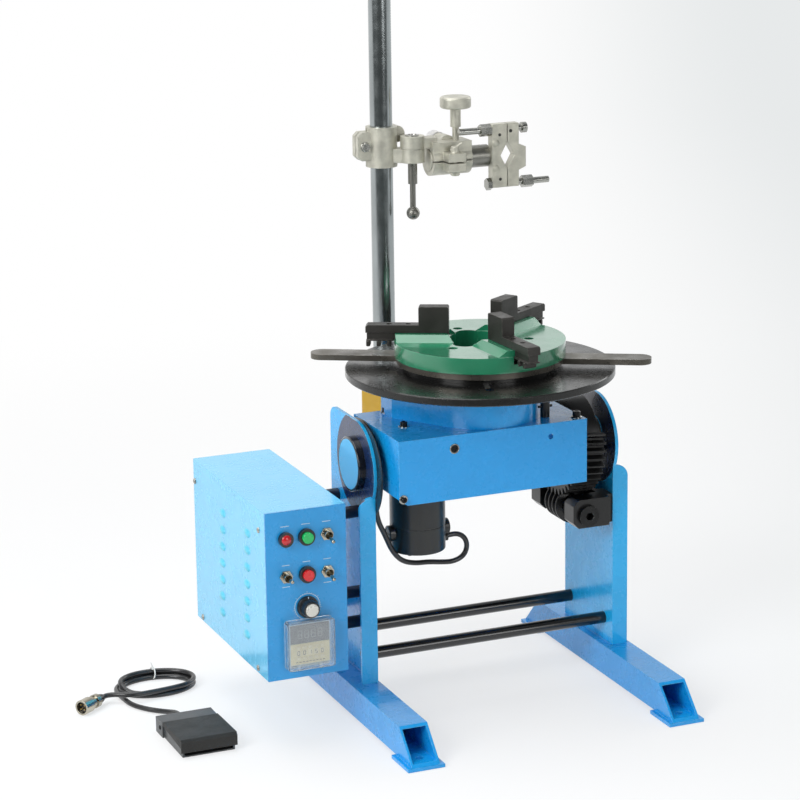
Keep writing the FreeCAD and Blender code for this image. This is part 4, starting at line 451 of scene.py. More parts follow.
def curveLength(cord):
    bare = cord.copy()
    bare.data = cord.data.copy()
    bare.data.bevel_depth = 0
    bare.data.use_fill_caps = False
    line = bpy.data.meshes.new_from_object(bare)
    total = sum((line.vertices[e.vertices[0]].co - line.vertices[e.vertices[1]].co).length for e in line.edges)
    bpy.data.meshes.remove(line)
    bpy.data.objects.remove(bare)
    return total


steps = int(cordSpec["turns"] * cordSpec["pointsPerTurn"])
winding = [coilPoint(cordSpec, k / cordSpec["pointsPerTurn"]) for k in range(1, steps)]
pedalCord = makeCord("pedalCord", cordSpec["fromPedal"] + winding + cordSpec["toPlug"], cordSpec["radius"],
                     "frame", "cordBlack")
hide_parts("pedal_cord", "pedal_cord_coil")
motorCable = makeCord("motorCable", cableSpec["points"], cableSpec["radius"], "head", "cordBlack")
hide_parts("motor_cable")
pedalCordLength, motorCableLength = round(curveLength(pedalCord), 3), round(curveLength(motorCable), 3)
print("cords ready: pedal cord", pedalCordLength, "motor cable", motorCableLength)


def newShape():
    return {"points": [], "faces": [], "slots": []}


def addFace(shape, slot, corners):
    shape["faces"].append(tuple(corners))
    shape["slots"].append(slot)


def joinRings(shape, base, sides, count, slot, close=True):  # side faces, and both ends
    for ring in range(count - 1):
        for k in range(sides):
            a = base + ring * sides + k
            b = base + ring * sides + (k + 1) % sides
            addFace(shape, slot, (a, b, b + sides, a + sides))
    if close:
        addFace(shape, slot, (base + k for k in reversed(range(sides))))
        addFace(shape, slot, (base + (count - 1) * sides + k for k in range(sides)))


def basis(axis):
    axis = axis.normalized()
    helper = up if abs(axis.z) < 0.9 else right
    first = helper.cross(axis).normalized()
    return first, axis.cross(first), axis


# turned form: rings of (radius, distance along the axis) or (radius, distance, corner count)
def addRings(shape, rings, start, axis, slot=0, sides=40, close=True):
    first, second, along = basis(axis)
    origin = mm(*start)
    base = len(shape["points"])
    for ring in rings:
        radius, distance = ring[0], ring[1]
        corners = ring[2] if len(ring) > 2 else 0
        for k in range(sides):
            angle = 2 * math.pi * k / sides
            reach = radius
            if corners:
                part = 2 * math.pi / corners
                reach = radius / math.cos((angle % part) - part / 2)
            place = origin + (first * math.cos(angle) + second * math.sin(angle)) * reach * millimetre
            shape["points"].append(place + along * distance * millimetre)
    joinRings(shape, base, sides, len(rings), slot, close)


# box with chamfered edges, as four stacked rings of eight corners
def addBlock(shape, low, high, slot=0, chamfer=0.3):
    x0, y0, z0 = low
    x1, y1, z1 = high
    c = min(chamfer, (x1 - x0) / 3, (y1 - y0) / 3, (z1 - z0) / 3)
    levels = [(z0, c), (z0 + c, 0), (z1 - c, 0), (z1, c)]
    base = len(shape["points"])
    for z, inset in levels:
        outline = [(x0 + inset + c, y0 + inset), (x1 - inset - c, y0 + inset), (x1 - inset, y0 + inset + c),
                   (x1 - inset, y1 - inset - c), (x1 - inset - c, y1 - inset), (x0 + inset + c, y1 - inset),
                   (x0 + inset, y1 - inset - c), (x0 + inset, y0 + inset + c)]
        shape["points"] += [mm(x, y, z) for x, y in outline]
    joinRings(shape, base, len(outline), len(levels), slot)


def addTube(shape, path, radius, slot=0, sides=12):  # round bar along a list of points
    places = [mm(*p) for p in path]
    base = len(shape["points"])
    first = None
    for k, place in enumerate(places):
        ahead = places[min(k + 1, len(places) - 1)] - places[max(k - 1, 0)]
        ahead.normalize()
        if first is None:
            first = basis(ahead)[0]
        first = (first - ahead * first.dot(ahead)).normalized()
        second = ahead.cross(first)
        for j in range(sides):
            angle = 2 * math.pi * j / sides
            spoke = first * math.cos(angle) + second * math.sin(angle)
            shape["points"].append(place + spoke * radius * millimetre)
    joinRings(shape, base, sides, len(places), slot)


def finishShape(shape, name, body, finishNames, smooth=35.0):
    mesh = bpy.data.meshes.new(name)
    mesh.from_pydata(shape["points"], [], shape["faces"])
    for finishName in finishNames:
        mesh.materials.append(finishes[finishName])
    for face, slot in zip(mesh.polygons, shape["slots"]):
        face.material_index = slot
    sheet = bmesh.new()
    sheet.from_mesh(mesh)
    bmesh.ops.recalc_face_normals(sheet, faces=sheet.faces)
    for face in sheet.faces:
        face.smooth = True
    for edge in sheet.edges:
        if len(edge.link_faces) == 2 and edge.calc_face_angle(0) > math.radians(smooth):
            edge.smooth = False
    sheet.to_mesh(mesh)
    sheet.free()
    piece = addObject(name, mesh)
    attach(piece, body)
    return piece


# cap screw with a hexagon socket
def addSocketScrew(shape, place, axis, head=4.5, height=5.0, slot=0):
    rings = [(head, 0), (head, height - 0.6), (head - 0.6, height), (head * 0.55, height),
             (head * 0.46, height, 6), (head * 0.46, height * 0.4, 6), (head * 0.1, height * 0.4)]
    addRings(shape, rings, place, axis, slot, sides=36)


def addHexBolt(shape, place, axis, flat=6.5, height=5.0, washer=8.5, slot=0):
    rings = [(washer, 0), (washer, 1.0), (washer - 0.4, 1.3), (flat, 1.3, 6), (flat, height + 0.4, 6),
             (flat * 0.93, height + 1.3), (flat * 0.5, height + 1.3)]
    addRings(shape, rings, place, axis, slot, sides=36)


def addPanScrew(shape, place, axis, head=3.2, height=1.8, slot=0, cross=1):
    rings = [(head, 0), (head, height * 0.35), (head * 0.86, height * 0.75), (head * 0.5, height),
             (head * 0.12, height * 1.02)]
    addRings(shape, rings, place, axis, slot, sides=24)
    first, second, along = basis(axis)
    for arm in (first, second):
        ends = []
        for side in (-1, 1):
            spot = Vector(place) + arm * side * head * 0.55 + along * height * 0.86
            ends.append(tuple(spot))
        addTube(shape, ends, 0.36, cross, sides=6)


boxScrewSpec = {"side": -296.2, "places": [(171.5, 247.8), (155.7, 84.3), (-48.4, 250.2), (-36.3, 85.2)]}


def makeBoxScrews(spec):
    shape = newShape()
    for y, z in spec["places"]:
        addPanScrew(shape, (spec["side"], y, z), left, head=3.4, height=1.9)
    finishShape(shape, "boxScrews", "frame", ["brightScrew", "inkDark"])


makeBoxScrews(boxScrewSpec)

louverSpec = {"side": -296.2, "top": 235.4, "pitch": 20.4, "count": 7, "starts": [(-12.5, 1.55), (70.9, 1.7)],
              "half": 9.0, "rise": 2.6, "tall": 5.4, "shift": 3.6, "across": 12, "high": 6}


def makeLouvers(spec):  # pressed lens-shaped hoods over the side vents, in two leaning columns
    shape = newShape()
    across, high = spec["across"], spec["high"]
    for startY, lean in spec["starts"]:
        for k in range(spec["count"]):
            centreY = startY + lean * k + spec["shift"]
            centreZ = spec["top"] - spec["pitch"] * k
            base = len(shape["points"])
            for j in range(high + 1):
                vertical = -1 + 2 * j / high
                for i in range(across + 1):
                    along = -1 + 2 * i / across
                    width = math.sqrt(max(0.0, 1 - along * along))
                    rise = spec["rise"] * width * (1 - vertical * vertical) ** 0.6
                    shape["points"].append(mm(spec["side"] - rise + 0.05, centreY + along * spec["half"],
                                              centreZ + vertical * width * spec["tall"]))
            for j in range(high):
                for i in range(across):
                    a = base + j * (across + 1) + i
                    addFace(shape, 0, (a, a + 1, a + across + 2, a + across + 1))
    finishShape(shape, "louverHoods", "frame", ["ventBlueLitCopy"], smooth=80)


makeLouvers(louverSpec)

timerSpec = {
    "x": -248.5, "front": -74.0, "z": 119.5, "half": 23,
    "display": "8888", "displayPitch": 8, "displayRise": 12, "dashes": 9, "dashPitch": 4,
    "wheels": "00150", "wheelPitch": 7, "wheelDrop": 9.5, "keyDrops": (3.2, 15.8),
    "segments": {"0": "abcdef", "1": "bc", "5": "afgcd", "8": "abcdefg"},
}


def addDigit(shape, letters, x, z, y, wide, tall, thick, slot):  # seven-bar figure on a front face
    half, mid = wide / 2, tall / 2
    bars = {"a": (0, mid, wide, thick), "g": (0, 0, wide, thick), "d": (0, -mid, wide, thick),
            "f": (-half, mid / 2, thick, mid), "b": (half, mid / 2, thick, mid),
            "e": (-half, -mid / 2, thick, mid), "c": (half, -mid / 2, thick, mid)}
    for letter in letters:
        dx, dz, width, height = bars[letter]
        width, height = max(width - thick * 0.4, thick), max(height - thick * 0.4, thick)
        addBlock(shape, (x + dx - width / 2, y - 0.25, z + dz - height / 2),
                 (x + dx + width / 2, y, z + dz + height / 2), slot, 0.05)


def makeTimerFace(spec):  # display window, cream lower plate, five setting wheels and their push keys
    x, y, z, half = spec["x"], spec["front"], spec["z"], spec["half"]
    shape = newShape()
    addBlock(shape, (x - half, y - 0.8, z + 1.5), (x + half, y, z + half), 0, 0.5)
    addBlock(shape, (x - half, y - 1.0, z - half), (x + half, y, z + 1.2), 1, 0.5)
    for k, digit in enumerate(spec["display"]):
        digitX = x - 1.5 * spec["displayPitch"] + spec["displayPitch"] * k
        addDigit(shape, spec["segments"][digit], digitX, z + spec["displayRise"], y - 0.8, 4.4, 9.0, 0.9, 2)
    for k, digit in enumerate(spec["wheels"]):
        wheelX = x - 2 * spec["wheelPitch"] + spec["wheelPitch"] * k
        addBlock(shape, (wheelX - 2.6, y - 1.3, z - 13.0), (wheelX + 2.6, y - 0.9, z - 6.0), 4, 0.15)
        addDigit(shape, spec["segments"][digit], wheelX, z - spec["wheelDrop"], y - 1.3, 2.4, 4.4, 0.6, 3)
        for drop in spec["keyDrops"]:
            keyZ = z - drop
            addBlock(shape, (wheelX - 2.2, y - 2.2, keyZ - 1.5), (wheelX + 2.2, y - 0.9, keyZ + 1.5), 4, 0.4)
    for k in range(spec["dashes"]):
        dashX = x - 4 * spec["dashPitch"] + spec["dashPitch"] * k
        addBlock(shape, (dashX - 1.3, y - 1.15, z - 20.6), (dashX + 1.3, y - 0.95, z - 19.7), 3, 0.05)
    finishShape(shape, "timerFace", "frame", ["timerGrey", "timerCream", "segmentGrey", "inkDark", "timerKey"])


makeTimerFace(timerSpec)

markSpec = {
    "x": -248.5, "front": -69.0, "z": 161.0, "ring": [(14.6, 0), (14.6, 0.12), (15.2, 0.12), (15.2, 0)],
    "circle": 15.0, "ticks": 31, "firstTick": 240, "tickStep": 10, "proud": 0.12, "lineTall": 0.8,
    "columnPitch": 24.5, "lampRow": 256.5, "switchRow": 199.0, "lampHalf": 5, "switchHalf": 4.5,
    "switchLines": [(-1, 12.5), (-1, -12.5), (0, 14), (1, 14), (1, -13.5)],  # column and height above the row
}


def makePanelMarks(spec):  # scale ring of the speed control and short plain lines beside the switches
    shape = newShape()
    x, y, z = spec["x"], spec["front"], spec["z"]
    addRings(shape, spec["ring"], (x, y, z), front, sides=72, close=False)
    for k in range(spec["ticks"]):
        angle = math.radians(spec["firstTick"] - spec["tickStep"] * k)
        start = Vector((x + spec["circle"] * math.cos(angle), y, z + spec["circle"] * math.sin(angle)))
        end = start + Vector((math.cos(angle), 0, math.sin(angle))) * (2.6 if k % 5 == 0 else 1.3)
        addTube(shape, [tuple(start), tuple(end)], 0.22, sides=6)
    lines = [(column, spec["lampRow"], spec["lampHalf"]) for column in (-1, 0, 1)]
    lines += [(column, spec["switchRow"] + rise, spec["switchHalf"]) for column, rise in spec["switchLines"]]
    for column, lineZ, half in lines:
        lineX = x + column * spec["columnPitch"]
        addBlock(shape, (lineX - half, y - spec["proud"], lineZ), (lineX + half, y, lineZ + spec["lineTall"]),
                 0, 0.03)
    finishShape(shape, "panelMarks", "frame", ["paleMark"])


makePanelMarks(markSpec)

knobSpec = {
    "place": (-248.5, -69.3, 161.0), "flutes": 20, "sides": 160,
    "profile": [(12.5, 0, 0), (12.5, 2.4, 0), (11.8, 4.0, 0), (10.1, 4.2, 0.5), (9.9, 13.6, 0.5),
                (9.3, 14.8, 0.2), (8.2, 15.0, 0), (7.5, 15.0, 0)],  # radius, distance and depth of the flutes
    "cap": [(7.5, 14.6), (7.5, 15.6), (7.0, 16.0), (0.4, 16.0)], "shaft": [(3.0, -14.0), (3.0, 0.5)],
}


def makeSpeedKnob(spec):  # fluted knob with its skirt, metal cap and pointer line
    shape = newShape()
    x, y, z = spec["place"]
    sides = spec["sides"]
    for radius, distance, flute in spec["profile"]:
        for k in range(sides):
            angle = 2 * math.pi * k / sides
            reach = radius - flute * (0.5 + 0.5 * math.cos(spec["flutes"] * angle)) ** 2
            shape["points"].append(mm(x + reach * math.cos(angle), y - distance, z + reach * math.sin(angle)))
    joinRings(shape, 0, sides, len(spec["profile"]), 0, close=False)
    addRings(shape, spec["cap"], (x, y, z), front, 1, sides=64)
    addBlock(shape, (x - 0.5, y - 4.3, z + 9.9), (x + 0.5, y - 3.2, z + 12.2), 2, 0.1)
    addRings(shape, spec["shaft"], (x, y, z), front, 3, sides=24)
    return finishShape(shape, "speedKnob", "speed_dial",
                       ["blackPlastic", "silverCap", "paleMark", "turnedSteel"])


knob = makeSpeedKnob(knobSpec)
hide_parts("speed_dial")
print("control box ready")


boltSpec = {"sides": [(-150.8, left), (158.3, right)], "barYs": (-1.5, 88.0), "barZ": 68.0}


def makeFrameBolts(spec):
    shape = newShape()
    for y in spec["barYs"]:
        for x, axis in spec["sides"]:
            addHexBolt(shape, (x, y, spec["barZ"]), axis)
    finishShape(shape, "barBolts", "frame", ["blackScrew"])


makeFrameBolts(boltSpec)

weldSpec = {
    "innerLeft": -146.8, "innerRight": 154.3, "plateFront": -24.4, "plateBack": 102.5, "plate": 4.4,
    "inset": 0.4, "footX": 161.2, "footHalf": 17.0, "footTop": 40.3, "padTop": 4.2, "padFrom": 152,
    "padTo": 190, "plateBead": 1.2, "padBead": 1.3, "step": 2.6,
}


def addWeld(shape, start, end, radius, step):  # bead of overlapping scales between two points
    first, last = Vector(start), Vector(end)
    count = max(2, int((last - first).length / step))
    for k in range(count):
        spot = first.lerp(last, (k + 0.5) / count)
        wobble = 0.18 * math.sin(k * 2.4)
        rings = [(0.2, -step * 0.8), (radius * 0.8 + wobble, -step * 0.45), (radius + wobble, 0),
                 (radius * 0.75, step * 0.5), (0.2, step * 0.75)]
        addRings(shape, rings, tuple(spot), last - first, sides=8)


def makeWelds(spec):
    shape = newShape()
    bead, padBead, step = spec["plateBead"], spec["padBead"], spec["step"]
    farEnd = spec["plateBack"] - 3
    for side in (-1, 1):
        inner = spec["innerLeft"] if side < 0 else spec["innerRight"]
        for x, startY in ((inner - side * spec["inset"], spec["plateFront"] + 3),
                          (inner + side * spec["plate"], spec["plateFront"] + 6)):
            addWeld(shape, (x, startY, spec["footTop"]), (x, farEnd, spec["footTop"]), bead, step)
        for end in (-1, 1):
            for edge in (-1, 1):
                x = side * spec["footX"] + edge * spec["footHalf"]
                addWeld(shape, (x, end * spec["padFrom"], spec["padTop"]),
                        (x, end * spec["padTo"], spec["padTop"]), padBead, step)
    finishShape(shape, "weldBeads", "frame", ["frameBlue"], smooth=60)


makeWelds(weldSpec)
print("frame details ready")


housingScrewSpec = {
    "front": -72.3, "top": 337.7, "ringScrew": (-69.6, 322.0), "clipScrew": (-132.5, 270.5),
    "topScrews": [(-101.2, 53.0), (-106.5, -14.0)],
    "ringHead": [(4.6, 0), (4.6, 0.7), (4.1, 1.0), (3.0, 1.0), (2.9, 0.2, 6), (2.9, -1.5, 6), (0.4, -1.5)],
    "ring": [(5.9, -0.2), (5.9, 0.5), (5.5, 0.8), (4.7, 0.8), (4.6, 0.2)],
    "clipWasher": [(5.2, 0), (5.2, 0.6), (4.8, 0.9), (2, 0.9)],
    "topWasher": [(6.2, 0), (6.2, 0.9), (5.8, 1.3), (2, 1.3)],
}


def makeHousingScrews(spec):
    shape = newShape()
    x, z = spec["ringScrew"]
    addRings(shape, spec["ringHead"], (x, spec["front"], z), front, sides=36)
    addRings(shape, spec["ring"], (x, spec["front"], z), front, 1, sides=36, close=False)
    x, z = spec["clipScrew"]
    addRings(shape, spec["clipWasher"], (x, spec["front"], z), front, 1, sides=36)
    addSocketScrew(shape, (x, spec["front"] - 0.9, z), front, head=3.4, height=3.0)
    for x, y in spec["topScrews"]:
        addRings(shape, spec["topWasher"], (x, y, spec["top"]), up, 1)
        addSocketScrew(shape, (x, y, spec["top"] + 1.3), up, head=4.2, height=4.6)
    finishShape(shape, "housingScrews", "head", ["blackScrew", "brightScrew"])


makeHousingScrews(housingScrewSpec)

cornerScrewSpec = {"place": (88.0, -62.0), "top": 337.7, "thick": 1.4,
                   "washer": [(6.4, 0), (6.4, 1.0), (5.9, 1.4), (2, 1.4)]}


def makeCornerScrew(spec):  # cap screw with a washer on the right front corner of the housing
    shape = newShape()
    addRings(shape, spec["washer"], (*spec["place"], spec["top"]), up, 1)
    addSocketScrew(shape, (*spec["place"], spec["top"] + spec["thick"]), up, head=4.6, height=6.0)
    finishShape(shape, "cornerScrew", "head", ["blackScrew", "brightScrew"])


makeCornerScrew(cornerScrewSpec)

linerSpec = {"place": (-146.6, 10.0, 285.0), "inner": 37.0, "outer": 55.5, "thick": 1.1, "chamfer": 0.3}


def makeHubLiner(spec):  # thin black wear disc between the left side plate and the housing
    shape = newShape()
    inner, outer, thick, chamfer = (spec[key] for key in ("inner", "outer", "thick", "chamfer"))
    rings = [(inner, 0), (outer - 0.4, 0), (outer, chamfer), (outer, thick - chamfer), (outer - chamfer, thick),
             (inner, thick), (inner, 0)]
    addRings(shape, rings, spec["place"], right, sides=120, close=False)
    finishShape(shape, "hubLiner", "frame", ["blackPlastic"])


makeHubLiner(linerSpec)

motorTrimSpec = {
    "place": (-73.14, 28.47), "bottom": 177.0, "screwCircle": 24.0, "screws": 4,
    "boss": [(9.0, 0), (9.0, 2.0), (8.0, 2.8), (4.0, 2.8)], "capReach": 37.5, "capRise": 22.0,
    "cap": [(9.2, -0.5), (8.6, 0.5), (7.0, 0.8), (6.6, 0.3), (0.5, 0.3)], "slot": (0.9, 5.5, 0.7),
}


def makeMotorTrim(spec):  # end-bell screws, the round boss below and slotted brush caps
    shape = newShape()
    x, y = spec["place"]
    for k in range(spec["screws"]):
        spot = around((x, y), spec["screwCircle"], math.radians(45 + 360 / spec["screws"] * k))
        addSocketScrew(shape, (*spot, spec["bottom"]), down, head=3.0, height=2.2)
    addRings(shape, spec["boss"], (x, y, spec["bottom"]), down, sides=32)
    for side in (-1, 1):
        capX, capZ = x + side * spec["capReach"], spec["bottom"] + spec["capRise"]
        addRings(shape, spec["cap"], (capX, y, capZ), right * side, sides=32)
        wide, deep, tall = spec["slot"]
        addBlock(shape, (capX - wide, y - deep, capZ - tall), (capX + wide, y + deep, capZ + tall), 1, 0.2)
    finishShape(shape, "motorTrim", "head", ["motorBlack", "inkDark"])


makeMotorTrim(motorTrimSpec)

shaftRingSpec = {"place": (117.8, -32.5, 208.0),
                 "rings": [(11.6, 0), (11.6, 0.7), (11.2, 1.0), (10.4, 1.0), (10.2, 0.4), (9.6, 0.4)]}


def makeShaftRing(spec):  # bright retaining ring on the face of the worm block
    shape = newShape()
    addRings(shape, spec["rings"], spec["place"], front, sides=72, close=False)
    finishShape(shape, "shaftRing", "frame", ["brightScrew"])


makeShaftRing(shaftRingSpec)
print("head details ready")


chuckSpec = {"centre": (-6.4, -3.5), "jawAngles": {"jaw_left": 153.0, "jaw_right": 33.0, "jaw_front": -87.0}}

chuckScrewSpec = {"circle": 56.0, "seat": 422.0, "turn": 60, "jawCircles": (82.0, 104.0), "jawSeat": 438.7}


def makeChuckScrews(chuck, spec):  # three body screws between the jaws and two screws in each jaw
    shape = newShape()
    for angle in chuck["jawAngles"].values():
        spot = around(chuck["centre"], spec["circle"], math.radians(angle + spec["turn"]))
        addSocketScrew(shape, (*spot, spec["seat"]), up, head=4.8, height=4.6)
    finishShape(shape, "chuckScrews", "turntable", ["blackScrew"])
    for body, angle in chuck["jawAngles"].items():
        shape = newShape()
        for reach in spec["jawCircles"]:
            spot = around(chuck["centre"], reach, math.radians(angle))
            addSocketScrew(shape, (*spot, spec["jawSeat"]), up, head=3.0, height=4.2)
        finishShape(shape, body + "_screws", body, ["blackScrew"])


makeChuckScrews(chuckSpec, chuckScrewSpec)

rackSpec = {
    "start": 98.2, "end": 130.0, "half": 7.75, "neck": 5.75, "bottom": 419.5, "foot": 426.0, "step": 430.2,
    "top": 435.9, "pitch": 12.0, "toothHalf": 2.3, "overlap": 0.3,
    "firstTooth": {"jaw_left": 103.8, "jaw_right": 99.8, "jaw_front": 107.8},
}


# outer end of each jaw's foot: a step, the groove that runs in the chuck, and the teeth below
def makeJawRacks(chuck, spec):
    start, end, half, neck = spec["start"], spec["end"], spec["half"], spec["neck"]
    for body, angle in chuck["jawAngles"].items():
        shape = newShape()
        addBlock(shape, (start, -half, spec["foot"]), (end, half, spec["step"] - 2.4), 0, 0.5)
        addBlock(shape, (start, -neck, spec["step"] - 2.6), (end - 0.6, neck, spec["top"]), 0, 0.3)
        middle = spec["firstTooth"][body]
        while middle < end - 2:
            addBlock(shape, (middle - spec["toothHalf"], -half, spec["bottom"]),
                     (middle + spec["toothHalf"], half, spec["foot"] + spec["overlap"]), 0, 0.7)
            middle += spec["pitch"]
        turn = Matrix.Rotation(math.radians(angle), 4, "Z")
        shape["points"] = [turn @ point + mm(*chuck["centre"], 0) for point in shape["points"]]
        finishShape(shape, body + "_rack", body, ["jawBlack"])


makeJawRacks(chuckSpec, rackSpec)
print("chuck details ready")


wingSpec = {
    "place": (36.3, 159.2), "top": 615.0, "bottom": 593.0, "rod": [(3.0, -0.5), (3.0, 22.5)],
    "hub": [(5.6, 0), (5.6, 1.2), (5.0, 1.4), (5.0, 7.2), (4.4, 8.0), (1.0, 8.0)],
    "handle": [(-5.5, 0.0, 3.2), (1.0, -0.4, 6.4), (9.0, -0.8, 11.4)], "handleRadius": 1.7,
}


def makeWingScrew(spec):  # screw of the split clamp with its tilted cross handle
    shape = newShape()
    x, y = spec["place"]
    addRings(shape, spec["hub"], (x, y, spec["top"]), up, sides=32)
    addTube(shape, [(x + dx, y + dy, spec["top"] + dz) for dx, dy, dz in spec["handle"]], spec["handleRadius"])
    addRings(shape, spec["rod"], (x, y, spec["bottom"]), up, sides=24)
    addHexBolt(shape, (x, y, spec["bottom"]), down, flat=5.0, height=4.0, washer=6.0)
    finishShape(shape, "wingScrew", "arm", ["castAlloy"])


makeWingScrew(wingSpec)

tubePlugSpec = {"place": (13.3, 186.2, 604.0),
                "rings": [(13.3, 0.6), (13.2, -0.6), (12.2, -1.4), (6.0, -1.9), (0.5, -2.0)]}


def makeTubePlug(spec):  # pressed plug that closes the left end of the cross tube
    shape = newShape()
    addRings(shape, spec["rings"], spec["place"], right, sides=56)
    finishShape(shape, "tubePlug", "cross_tube", ["castAlloy"])


makeTubePlug(tubePlugSpec)

clampSpec = {
    "front": 169.2, "bosses": [(94.2, 621.0), (94.2, 590.0)],
    "boss": [(4.4, -4.0), (4.4, 0.6), (3.4, 1.5), (0.8, 1.9)],
    "leftHoles": [(99.6, 630.5), (100.2, 576.5)], "leftRadius": 1.9,
    "rightHoles": [(114.0, 634.5)], "rightRadius": 2.1,
}


def makeTappedHoles(name, body, spots, y, radius):
    shape = newShape()
    rings = [(radius, 0), (radius, 0.25), (radius - 0.6, 0.3), (radius - 0.7, 0.02), (0.1, 0.02)]
    for x, z in spots:
        addRings(shape, rings, (x, y, z), front, sides=24)
    finishShape(shape, name, body, ["inkDark"])


def makeClampTrim(spec):  # tapped holes in the clamp's front faces and the casting's round bosses
    face = spec["front"]
    makeTappedHoles("clampHolesLeft", "cross_tube", spec["leftHoles"], face, spec["leftRadius"])
    shape = newShape()
    for x, z in spec["bosses"]:
        addRings(shape, spec["boss"], (x, face, z), front, sides=32)
    finishShape(shape, "clampBosses", "cross_tube", ["castAlloy"])
    makeTappedHoles("clampHolesRight", "clamp_jaw", spec["rightHoles"], face, spec["rightRadius"])


makeClampTrim(clampSpec)

sleeveScrewSpec = {"x": -63.2, "z": 624.0, "front": 197.5, "back": 215.5, "rod": [(3.2, 0), (3.2, 18.0)]}


def makeSleeveScrew(spec):
    shape = newShape()
    x, z = spec["x"], spec["z"]
    addHexBolt(shape, (x, spec["front"], z), front, flat=5.0, height=3.6, washer=6.0)
    addRings(shape, spec["rod"], (x, spec["front"], z), back, sides=24)
    addHexBolt(shape, (x, spec["back"], z), back, flat=5.0, height=3.6, washer=6.0)
    finishShape(shape, "sleeveScrew", "sleeve", ["brightScrew"])


makeSleeveScrew(sleeveScrewSpec)

restBarSpec = {"x": 40.0, "z": 622.0, "start": 196.0, "end": 229.0, "radius": 8.5, "capLength": 12}


def makeRestBar(spec):  # round rest bar that leaves the clamp block to the back, with a milky end cap
    r, length = spec["radius"], spec["end"] - spec["start"]
    shape = newShape()
    addRings(shape, [(r + 1.2, -6), (r + 1.2, 8), (r, 10), (r, length - 1), (r - 1, length), (1, length)],
             (spec["x"], spec["start"], spec["z"]), back)
    finishShape(shape, "restBar", "arm", ["castAlloy"])
    cap = newShape()
    addRings(cap, [(r + 0.1, 0), (r + 1.3, 0.2), (r + 1.3, 15), (r + 0.4, 17.5), (3, 18.5)],
             (spec["x"], spec["end"] - spec["capLength"], spec["z"]), back, close=False)
    finishShape(cap, "restBarCap", "arm", ["milkyCap"])


makeRestBar(restBarSpec)

swivelRingSpec = {"place": (-7.2, 186.2, 635.1),
                  "rings": [(8.4, 0), (8.4, 0.9), (7.6, 1.3), (5.4, 1.3), (5.2, 0.3), (1.0, 0.3)]}


def makeSwivelRing(spec):  # locking ring on top of the swivel boss
    shape = newShape()
    addRings(shape, spec["rings"], spec["place"], up)
    finishShape(shape, "swivelRing", "arm", ["brightScrew"])


makeSwivelRing(swivelRingSpec)
print("torch holder details ready")


insertSpec = {
    "rear": (-434.4, 137.5, 9.0), "face": (-459.4, 119.5, 9.0), "length": 31.0, "sleeveStart": 3,
    "disc": [(6.9, -8.9), (6.9, -6.0), (6.2, -5.4), (0.6, -5.4)],
    "sleeve": [(6.0, -3.0), (5.4, -7.5), (3.9, -12.0), (3.1, -13.0)],
    "pins": 4, "pinCircle": 3.6, "pinRadius": 0.75, "pinFoot": 5.6, "pinLength": 3.6,
}


def makePlugInsert(spec):  # insulating insert with four pins inside the plug's collar, and its rear sleeve
    shape = newShape()
    face, rear = Vector(spec["face"]), Vector(spec["rear"])
    out = (face - rear).normalized()
    tip = rear + out * spec["length"]
    addRings(shape, spec["disc"], tuple(tip), out, sides=32)
    first, second, _ = basis(out)
    for k in range(spec["pins"]):
        angle = math.radians(45 + 360 / spec["pins"] * k)
        side = (first * math.cos(angle) + second * math.sin(angle)) * spec["pinCircle"]
        foot = tip + side - out * spec["pinFoot"]
        addTube(shape, [tuple(foot), tuple(foot + out * spec["pinLength"])], spec["pinRadius"], 1, sides=10)
    addRings(shape, spec["sleeve"], tuple(rear + out * spec["sleeveStart"]), out, sides=32)
    return finishShape(shape, "plugInsert", "frame", ["blackPlastic", "brass"])


plugInsert = makePlugInsert(insertSpec)

tieSpec = {
    "place": (-348.0, 200.0), "height": 7.4, "wide": 9.8, "tall": 6.4, "lean": 1.2, "thick": 0.8, "steps": 24,
    "tail": [(0, -2.5, 13.6), (-0.6, -1.6, 17.0), (-1.4, 0.6, 20.5)], "tailThick": 0.6,
}


def makeCordTie(spec):  # thin white band pulled round the turns, with its lock and cut tail
    shape = newShape()
    x, y = spec["place"]
    loop = []
    for k in range(spec["steps"] + 1):
        angle = 2 * math.pi * k / spec["steps"]
        loop.append((x + spec["lean"] * math.sin(angle), y + spec["wide"] * math.cos(angle),
                     spec["height"] + spec["tall"] * math.sin(angle)))
    addTube(shape, loop, spec["thick"], sides=8)
    addBlock(shape, (x - 1.6, y - 4.5, 12.4), (x + 1.8, y - 0.5, 14.6), 0, 0.4)
    addTube(shape, [(x + dx, y + dy, z) for dx, dy, z in spec["tail"]], spec["tailThick"], sides=8)
    return finishShape(shape, "cordTie", "frame", ["tieWhite"])


cordTie = makeCordTie(tieSpec)

pedalScrewSpec = {"places": [((-396.0, 22.0, 9.5), left), ((-330.0, 22.0, 9.5), right)]}


def makePedalScrews(spec):
    shape = newShape()
    for place, axis in spec["places"]:
        addPanScrew(shape, place, axis, head=2.6, height=1.2)
    finishShape(shape, "pedalScrews", "frame", ["blackScrew", "inkDark"])


makePedalScrews(pedalScrewSpec)
print("pedal details ready")


stageSpec = {  # metres, as the lamps
    "floorReach": 14.0, "floorFront": 6.0, "wallRise": 6.0, "bend": 1.6, "wallAway": 4.2, "liftNear": 0.62,
    "sink": 0.0002, "leftPaperLit": (0.90, 0.905, 0.91, 1), "rightPaperPaintedShade": (0.80, 0.83, 0.83, 1),
    "leftGlowLit": (1.0, 1.0, 1.0, 1), "rightGlowPaintedShade": (0.80, 0.82, 0.825, 1), "frontPaintedDarkReflection": (0.11, 0.12, 0.12, 1),
}


